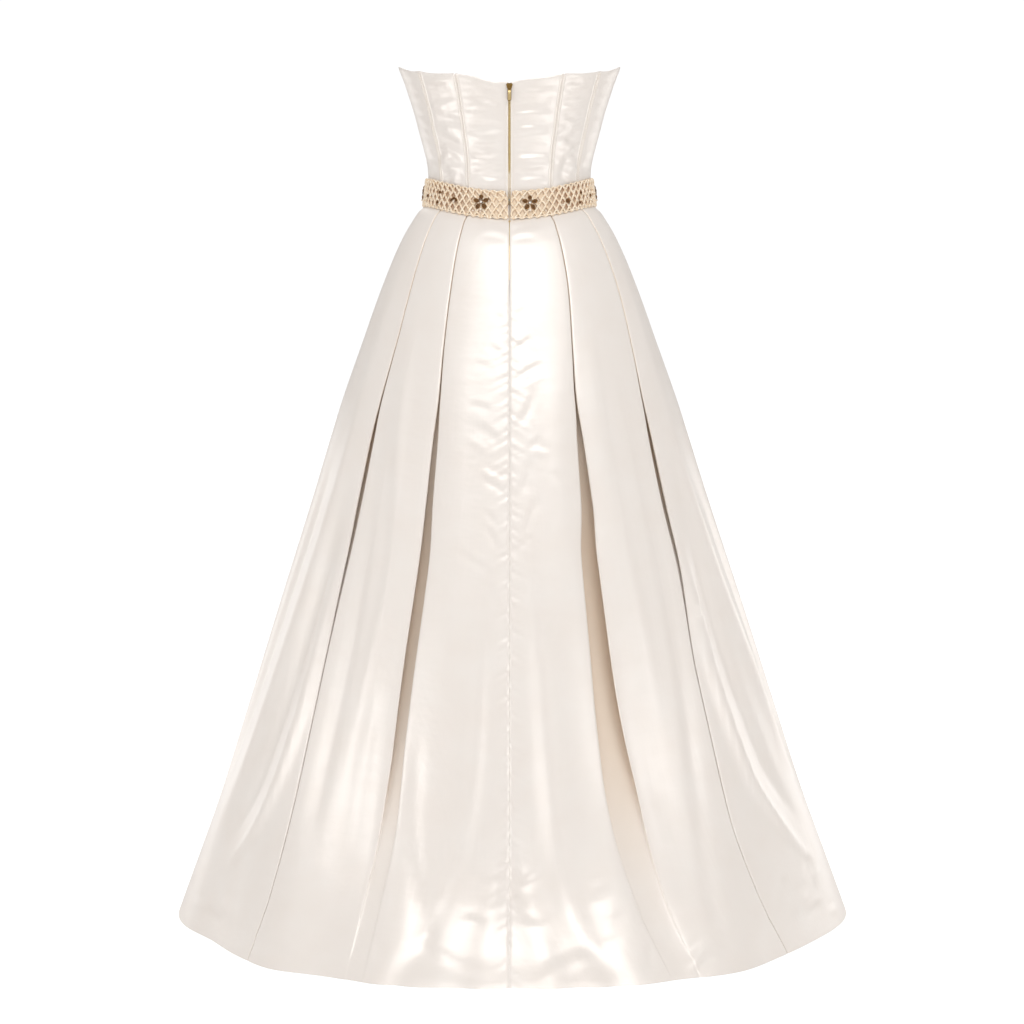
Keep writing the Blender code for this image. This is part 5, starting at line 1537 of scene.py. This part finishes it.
settings, stones, crystals, pearls = [], [], [], []
for name, form, angle, level in BELT_MOTIFS:
    spot, axes = on_belt(angle, level)
    if form == "flower":
        for k in range(PETALS):
            turn = math.pi / 2 + 2 * math.pi * k / PETALS
            at = (PETAL_OUT * math.cos(turn), PETAL_OUT * math.sin(turn))
            half_length, half_width, point = TOP_PETAL if k == 0 else PETAL
            cup, glass = set_stone(16, half_length * MM, half_width * MM, point)
            settings.append(placed(cup, spot, axes, at, turn))
            stones.append(placed(glass, spot, axes, at, turn))
        cup, glass = set_stone(12, 2.7 * MM, 2.7 * MM, 1.0, lift=0.7 * MM)
        settings.append(placed(cup, spot, axes))
        crystals.append(placed(glass, spot, axes))
        pearls.append(placed(ball(1.9 * MM, 1.2 * MM), spot, axes, (0.0, -PETAL_OUT - PEARL_OUT)))
    elif form == "arch":
        for turn in (math.radians(150), math.radians(90), math.radians(30)):
            at = (ARCH_OUT * math.cos(turn), ARCH_OUT * math.sin(turn))
            cup, glass = set_stone(14, 2.9 * MM, 2.0 * MM, 1.4)
            settings.append(placed(cup, spot, axes, at, turn + math.pi / 2))
            stones.append(placed(glass, spot, axes, at, turn + math.pi / 2))
        pearls.append(placed(ball(1.4 * MM, 1.0 * MM), spot, axes))
    else:
        half = (3.7 if form == "round" else 2.3) * MM
        cup, glass = set_stone(14, half, half, 1.0)
        settings.append(placed(cup, spot, axes))
        stones.append(placed(glass, spot, axes))

# Small pearls nest in some of the lattice's holes, fewer towards the sides.
PEARL_HOLES = (
    (5, 2), (7, 4), (9, 4), (16, 2), (18, 4), (23, 3), (31, 2), (38, 4), (49, 2), (58, 3), (68, 4),
    (77, 2), (86, 3), (95, 4), (104, 2), (112, 3), (118, 2), (122, 4), (127, 4), (129, 2), (132, 3),
)
for column, row in PEARL_HOLES:
    angle, level = belt_place(np.array(float(column)), np.array(float(row) - 0.5 * ((column + row) % 2 == 0)))
    spot, axes = on_belt(float(angle), float(level), out_by=1.2 * MM)
    pearls.append(placed(ball(1.4 * MM, 1.0 * MM), spot, axes))

motif_settings = piece("motif_settings", *joined(settings), bronze, sharp_from=35, slot="bronze_stone")
piece("motif_stones", *joined(stones), smoked_glass, sharp_from=12, slot="bronze_stone")
piece("motif_crystals", *joined(crystals), crystal, sharp_from=12, slot="bronze_stone")
piece("belt_pearls", *joined(pearls), pearl, slot="belt_cord")
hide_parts(*[name for name, _, _, _ in BELT_MOTIFS])
print(len(settings), "set stones and", len(pearls), "pearls")

# %% [markdown]
# ## The brass zip
#
# The chain is two rows of teeth that hook into each other, so a tooth of one row sits in the gap of the
# other. Brass is a metal: its colour comes from its reflections, so it is metallic with a roughness that
# varies a little where fingers and the slider have polished it. The slider and its pull get a darker copy
# of the brass as painted shade, and a bright raised plate on the pull's face moves with it. The woven
# tapes, the slider, the pull and the belt's hook are the frame's own parts and only get a finish.

# %% Zip materials
def brass_finish(name, dull, bright):
    """Gold brass: stamped and tumbled, bright where it is rubbed and duller in its hollows."""
    made, shader = surface(name, {
        "Base Color": linear(bright),
        "Metallic": 1.0,
        "Roughness": 0.28,
    })
    rubbed, tone = mottled(made, 2.5 * MM, dull, bright, 3.0)
    gloss = add(made, "MapRange", {"To Min": 0.2, "To Max": 0.42}, {"Value": rubbed})
    feed(made, shader, Base_Color=tone, Roughness=gloss.outputs["Result"])
    return made


def tape_finish():
    """Woven polyester tape, cream: ribs run along it 0.8 mm apart."""
    made, shader = surface("woven_polyester_tape", {
        "Base Color": linear("#EFE4D2"),
        "Roughness": 0.75,
        "IOR": 1.5,
        "Sheen Weight": 0.15,
    })
    place = add(made, "TexCoord")
    ribs = add(made, "TexWave", {"Scale": 0.31 / (0.8 * MM), "Distortion": 0.4},
               {"Vector": place.outputs["Object"]}, bands_direction="X")
    tone = add(made, "Mix", {6: linear("#E6D9C4"), 7: linear("#F5ECDD")}, {0: ribs.outputs["Fac"]},
               data_type="RGBA")
    bump = add(made, "Bump", {"Strength": 0.5, "Distance": 0.15 * MM}, {"Height": ribs.outputs["Fac"]})
    feed(made, shader, Base_Color=tone.outputs[2], Normal=bump.outputs["Normal"])
    return made


def steel_finish():
    """Nickel plated steel wire, dulled by use."""
    made, shader = surface("nickel_plated_steel", {
        "Base Color": linear("#A9ABA3"),
        "Metallic": 1.0,
        "Roughness": 0.35,
    })
    place = add(made, "TexCoord")
    dull = add(made, "TexNoise", {"Scale": 1 / (1.5 * MM)}, {"Vector": place.outputs["Object"]})
    gloss = add(made, "MapRange", {"To Min": 0.28, "To Max": 0.5}, {"Value": dull.outputs["Fac"]})
    feed(made, shader, Roughness=gloss.outputs["Result"])
    return made


brass = brass_finish("pale_gold_brass", "#D9BB80", "#F2DDA8")
# A darker copy of the same brass for the slider and the pull: painted shade.
shaded_brass = brass_finish("shaded_gold_brass", "#8A6B38", "#B8965A")
tape = tape_finish()
steel = steel_finish()


def refinish(node, finish):
    """Gives a part of the frame a finish in place of its plain one."""
    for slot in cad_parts[node].material_slots:
        slot.material = finish


for node, finish in (("zip_tape_L", tape), ("zip_tape_R", tape), ("zip_slider", shaded_brass),
                     ("zip_pull", shaded_brass), ("belt_hook", steel)):
    refinish(node, finish)
print("zip materials ready")

# %% Zip teeth
ZIP_TOP = 0.1655
ZIP_END_LEVEL = -0.100
CHAIN_BELOW_WAIST = 0.127
CHAIN_THICK = 1.8 * MM
ZIP_SUNK = 0.5 * MM
TOOTH_PITCH = 1.7 * MM
TOOTH_HALF = 0.55 * MM
TOOTH_OUTER = 2.0 * MM
TOOTH_INNER = -0.7 * MM


def zip_path(count):
    """Places down the centre back for the chain's middle, with the direction down it and out of it."""
    under_seam = SEAM_LEVEL - DIP_BACK - 1 * MM
    knots = [(height, along(BODICE_SECTIONS, 2, height) - ZIP_SUNK)
             for height in np.linspace(ZIP_TOP, under_seam, 7)]
    knots += [(float(level + waist_dip(0.0, level)),
               float(along(SKIRT_SECTIONS, 2, level)) - SKIRT_WALL / 2 - SEAM_GAP - CHAIN_THICK / 2)
              for level in (-0.0015, -0.014, -0.045, ZIP_END_LEVEL)]
    rows = np.array(knots, dtype=float)[::-1]
    height = np.linspace(ZIP_TOP - 1.5 * MM, rows[0, 0] + 1.5 * MM, count)
    depth = np.interp(height, rows[:, 0], rows[:, 1])
    return np.stack([np.zeros(count), depth, height], axis=-1)


def teeth(name, side):
    """One row of teeth: a block for each pitch, its nose narrower than its heel."""
    count = int((ZIP_TOP + CHAIN_BELOW_WAIST) / TOOTH_PITCH)
    middles = zip_path(2 * count)[(0 if side > 0 else 1)::2]
    along_chain = np.gradient(middles, axis=0)
    along_chain = along_chain / np.linalg.norm(along_chain, axis=-1, keepdims=True)
    right = np.array([1.0, 0.0, 0.0])
    out = np.cross(right, along_chain)
    x = np.array([TOOTH_INNER, TOOTH_INNER, TOOTH_OUTER, TOOTH_OUTER]) * side
    nose = np.array([-0.62, 0.62, 1.0, -1.0]) * TOOTH_HALF
    half_thick = np.array([0.62, 0.62, 1.0, 1.0]) * CHAIN_THICK / 2
    low = (middles[:, None] + right * x[:, None] + along_chain[:, None] * nose[:, None]
           - out[:, None] * half_thick[:, None])
    high = low + out[:, None] * 2 * half_thick[:, None]
    crown = (low + (high - low) * 1.08) * 0.75 + high.mean(axis=1, keepdims=True) * 0.25
    blocks = np.concatenate([low, high, crown], axis=1)
    ring = np.arange(4)
    after = np.roll(ring, -1)
    faces = [ring[None, ::-1], ring[None] + 8]
    walls = [np.stack([ring + low_ring, after + low_ring, after + low_ring + 4, ring + low_ring + 4], axis=-1)
             for low_ring in (0, 4)]
    local = np.concatenate([*faces, *walls])
    if side < 0:
        local = local[:, ::-1]
    quads = (local[None] + (np.arange(len(blocks)) * 12)[:, None, None]).reshape(-1, 4)
    made = piece(name, blocks, [quads], brass, sharp_from=30, slot="zip_brass")
    print(f"{name}: {len(blocks)} teeth")
    return made


PULL_TOP = -6.6 * MM
PULL_FOOT = -20.2 * MM
PLATE_HALF = 2.1 * MM
PLATE_CORNER = 0.8 * MM
PULL_FACE = 0.5 * MM
HINGE_BELOW_TOP = 4.3 * MM
SLIDER_AND_HINGE = 3.05 * MM


def pull_plate():
    """The raised plate on the pull's face: a rectangle with cut corners, bevelled to a flat table."""
    middle = (PULL_TOP + PULL_FOOT) / 2
    half = (PULL_TOP - PULL_FOOT) / 2
    x = PLATE_HALF - PLATE_CORNER
    y = half - PLATE_CORNER
    outline = np.array([(x, half), (PLATE_HALF, y), (PLATE_HALF, -y), (x, -half),
                        (-x, -half), (-PLATE_HALF, -y), (-PLATE_HALF, y), (-x, half)])[::-1]
    points, faces = stack(outline, ((1.0, 0.0), (1.0, 0.25 * MM), (0.86, 0.5 * MM)))
    hinge_height = ZIP_TOP - HINGE_BELOW_TOP
    face = float(along(BODICE_SECTIONS, 2, hinge_height)) + CHAIN_THICK - BODICE_WALL / 2 + SLIDER_AND_HINGE
    spot = np.array([0.0, face + PULL_FACE, hinge_height + middle])
    axes = np.array([[-1.0, 0.0, 0.0], [0.0, 0.0, 1.0], [0.0, 1.0, 0.0]])
    return piece("zip_pull_plate", spot + points @ axes, faces, brass, sharp_from=20, body="zip_pull",
                 slot="zip_brass")


pull_plate()
left_teeth = teeth("zip_teeth_L", 1)
teeth("zip_teeth_R", -1)
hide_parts("zip_chain")

# %% [markdown]
# ## Topstitching
#
# Stitches are small, but at the seams of the bodice they catch the light in a dotted line. Each is a
# grain of thread: a spindle that dips into the cloth at both ends. All of them are one mesh, because their
# places come from a single array.

# %% Topstitches
STITCH_LENGTH = 2.6 * MM
STITCH_PITCH = 3.3 * MM
STITCH_RADIUS = 0.22 * MM
thread, thread_shader = surface("polyester_thread", {
    "Base Color": linear("#F1E7DA"),
    "Roughness": 0.45,
    "IOR": 1.5,
    "Sheen Weight": 0.2,
})
_, thread_tone = mottled(thread, 0.6 * MM, "#EADFD0", "#F7EFE4")
feed(thread, thread_shader, Base_Color=thread_tone)


def stitch_row(seam, distance):
    """Ends of the stitches of one row beside a seam, from the top edge to the waist."""
    top = float(neck_height(np.array(float(seam)))) - 3 * MM
    bottom = SEAM_LEVEL + float(waist_dip(seam, SEAM_LEVEL)) + 20 * MM
    height = np.arange(top, bottom, -STITCH_PITCH)[:, None] - np.array([0, STITCH_LENGTH])
    angle = seam + distance * degrees_per_metre(BODICE_SECTIONS, float(seam), height)
    middle = bodice_middle(angle, height)
    _, out = section(BODICE_SECTIONS, angle, height)
    out = np.concatenate([out, np.zeros_like(out[..., :1])], axis=-1)
    lift = BODICE_WALL / 2 + CHANNEL_HEIGHT * (1 if seam != 0 else 0.3)
    lift = lift + creases(BODICE_CREASES, BODICE_SECTIONS, angle, height)
    return middle + out * lift[..., None], out


def spindles(ends, out, radius):
    """A six sided grain between each pair of ends, bowed out by its own radius."""
    share = np.array([0.0, 0.18, 0.5, 0.82, 1.0])
    girth = np.array([0.15, 0.85, 1.0, 0.85, 0.15]) * radius
    path = ends[:, :1] + (ends[:, 1:] - ends[:, :1]) * share[:, None]
    path = path + out[:, :1] * (girth - 0.4 * radius)[:, None]
    return tubes(path, np.repeat(girth[None], len(ends), axis=0), 6)


BODICE_SEAMS = (-SIDE_BACK_SEAM, -BACK_SEAM, BACK_SEAM, SIDE_BACK_SEAM, SIDE_FRONT_SEAM, -SIDE_FRONT_SEAM,
                FRONT_SEAM, -FRONT_SEAM)
rows = [(seam, side * line) for seam in BODICE_SEAMS for side in (-1, 1) for line in STITCH_LINES]
rows += [(0, PLACKET_LINE), (0, -PLACKET_LINE)]
found = [stitch_row(seam, distance) for seam, distance in rows]
ends = np.concatenate([pair[0] for pair in found])
outs = np.concatenate([pair[1] for pair in found])
stitch_points, stitch_faces = spindles(ends, outs, STITCH_RADIUS)
stitches = piece("bodice_topstitching", stitch_points, stitch_faces, thread, slot="satin")
print(len(ends), "stitches,", triangles(stitches), "triangles")

# %% [markdown]
# ## Floor, light and camera
#
# The picture is a studio cut-out: white all round, with big soft lights. The key light hangs above on the
# camera's side, and two broad low lights stand to its left and right, so the gores that face them shine
# and the sides turn grey. A weaker set of the same three lights the front. The camera is a long lens three
# metres away, a little below the waist, looking slightly down.

# %% Floor and lights
FLOOR_LEVEL = HEM_LEVEL - 0.6 * MM
FLOOR_HALF = 60.0
FLOOR_GLOW = 0.7
SKY_BELOW = 0.42
SKY_ABOVE = 0.64

# name, place, target, width and height in metres, watts
LIGHTS = (
    ("key_light", (-0.3, 2.6, 2.2), (0, 0, -0.1), (2.8, 1.4), 39),
    ("left_strip", (2.2, 1.8, -0.7), (0, 0, -0.75), (1.2, 1.5), 14),
    ("right_strip", (-2.0, 2.0, -0.7), (0, 0, -0.75), (1.2, 1.5), 12),
)
# name, which way along Y, share of the watts
LIGHT_SETS = (("back", 1, 1.0), ("front", -1, 0.6))


def make_floor():
    """A plain white paper floor just under the hem. What the camera sees of it is lifted to white."""
    made, shader = surface("matt_white_paper", {
        "Base Color": linear("#F4F4F4"),
        "Roughness": 0.9,
        "Emission Color": linear("#FFFFFF"),
    })
    path = add(made, "LightPath")
    glow = add(made, "Math", {1: FLOOR_GLOW}, {0: path.outputs["Is Camera Ray"]}, operation="MULTIPLY")
    feed(made, shader, Emission_Strength=glow.outputs[0])
    corners = np.array([[-1, -1, 0], [1, -1, 0], [1, 1, 0], [-1, 1, 0]]) * FLOOR_HALF
    corners[:, 2] = FLOOR_LEVEL
    mesh = bpy.data.meshes.new("floor")
    mesh.from_pydata(corners.tolist(), [], [(0, 1, 2, 3)])
    mesh.materials.append(made)
    floor = bpy.data.objects.new("floor", mesh)
    bpy.context.scene.collection.objects.link(floor)
    floor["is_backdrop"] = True


def area_light(name, place, target, size, power):
    """A soft light of a width and a height that faces a target."""
    data = bpy.data.lights.new(name, "AREA")
    data.shape = "RECTANGLE"
    data.size, data.size_y = size
    data.energy = power
    made = bpy.data.objects.new(name, data)
    bpy.context.scene.collection.objects.link(made)
    away = np.array(target) - np.array(place)
    made.location = place
    yaw = math.atan2(-away[0], away[1])
    pitch = math.atan2(away[2], math.hypot(away[0], away[1]))
    made.rotation_euler = (math.pi / 2 + pitch, 0, yaw)


def make_world():
    """White to the camera. To the gown it is a dimmer sky, brighter above than below."""
    world = bpy.data.worlds.new("studio")
    world.use_nodes = True
    world.node_tree.nodes.clear()
    seen = add(world, "Background", {"Color": (1, 1, 1, 1), "Strength": 1.05})
    place = add(world, "TexCoord")
    axes = add(world, "SeparateXYZ", links={"Vector": place.outputs["Generated"]})
    height = add(world, "MapRange", {"From Min": -1.0, "To Min": SKY_BELOW, "To Max": SKY_ABOVE},
                 {"Value": axes.outputs["Z"]})
    lit = add(world, "Background", {"Color": linear("#FFFCF9")}, {"Strength": height.outputs["Result"]})
    path = add(world, "LightPath")
    mix = add(world, "MixShader",
              links={0: path.outputs["Is Camera Ray"], 1: lit.outputs[0], 2: seen.outputs[0]})
    add(world, "OutputWorld", links={"Surface": mix.outputs[0]})
    bpy.context.scene.world = world


make_floor()
make_world()
for set_name, way, share in LIGHT_SETS:
    for name, (x, y, z), target, size, watts in LIGHTS:
        area_light(set_name + "_" + name, (x * way, y * way, z), target, size, watts * share)
bpy.context.scene.view_settings.view_transform = "Standard"
print("lights ready")

# %% Camera
LENS = 75
SENSOR = 36
LOOK_DOWN = 3.26
CAMERA_PLACE = (-0.00375, 3.2, -0.275)
camera_data = bpy.data.cameras.new("camera")
camera_data.lens = LENS
camera_data.sensor_width = SENSOR
camera = bpy.data.objects.new("camera", camera_data)
camera.location = CAMERA_PLACE
camera.rotation_euler = (math.radians(90 - LOOK_DOWN), 0, math.radians(180))
bpy.context.scene.collection.objects.link(camera)
bpy.context.scene.camera = camera

# %% Size and finish
drawn_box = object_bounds()
apart = np.abs(np.array(cad_box) - np.array(drawn_box)).max()
print("largest difference from the frame's box:", round(float(apart) * 1000, 1), "mm")
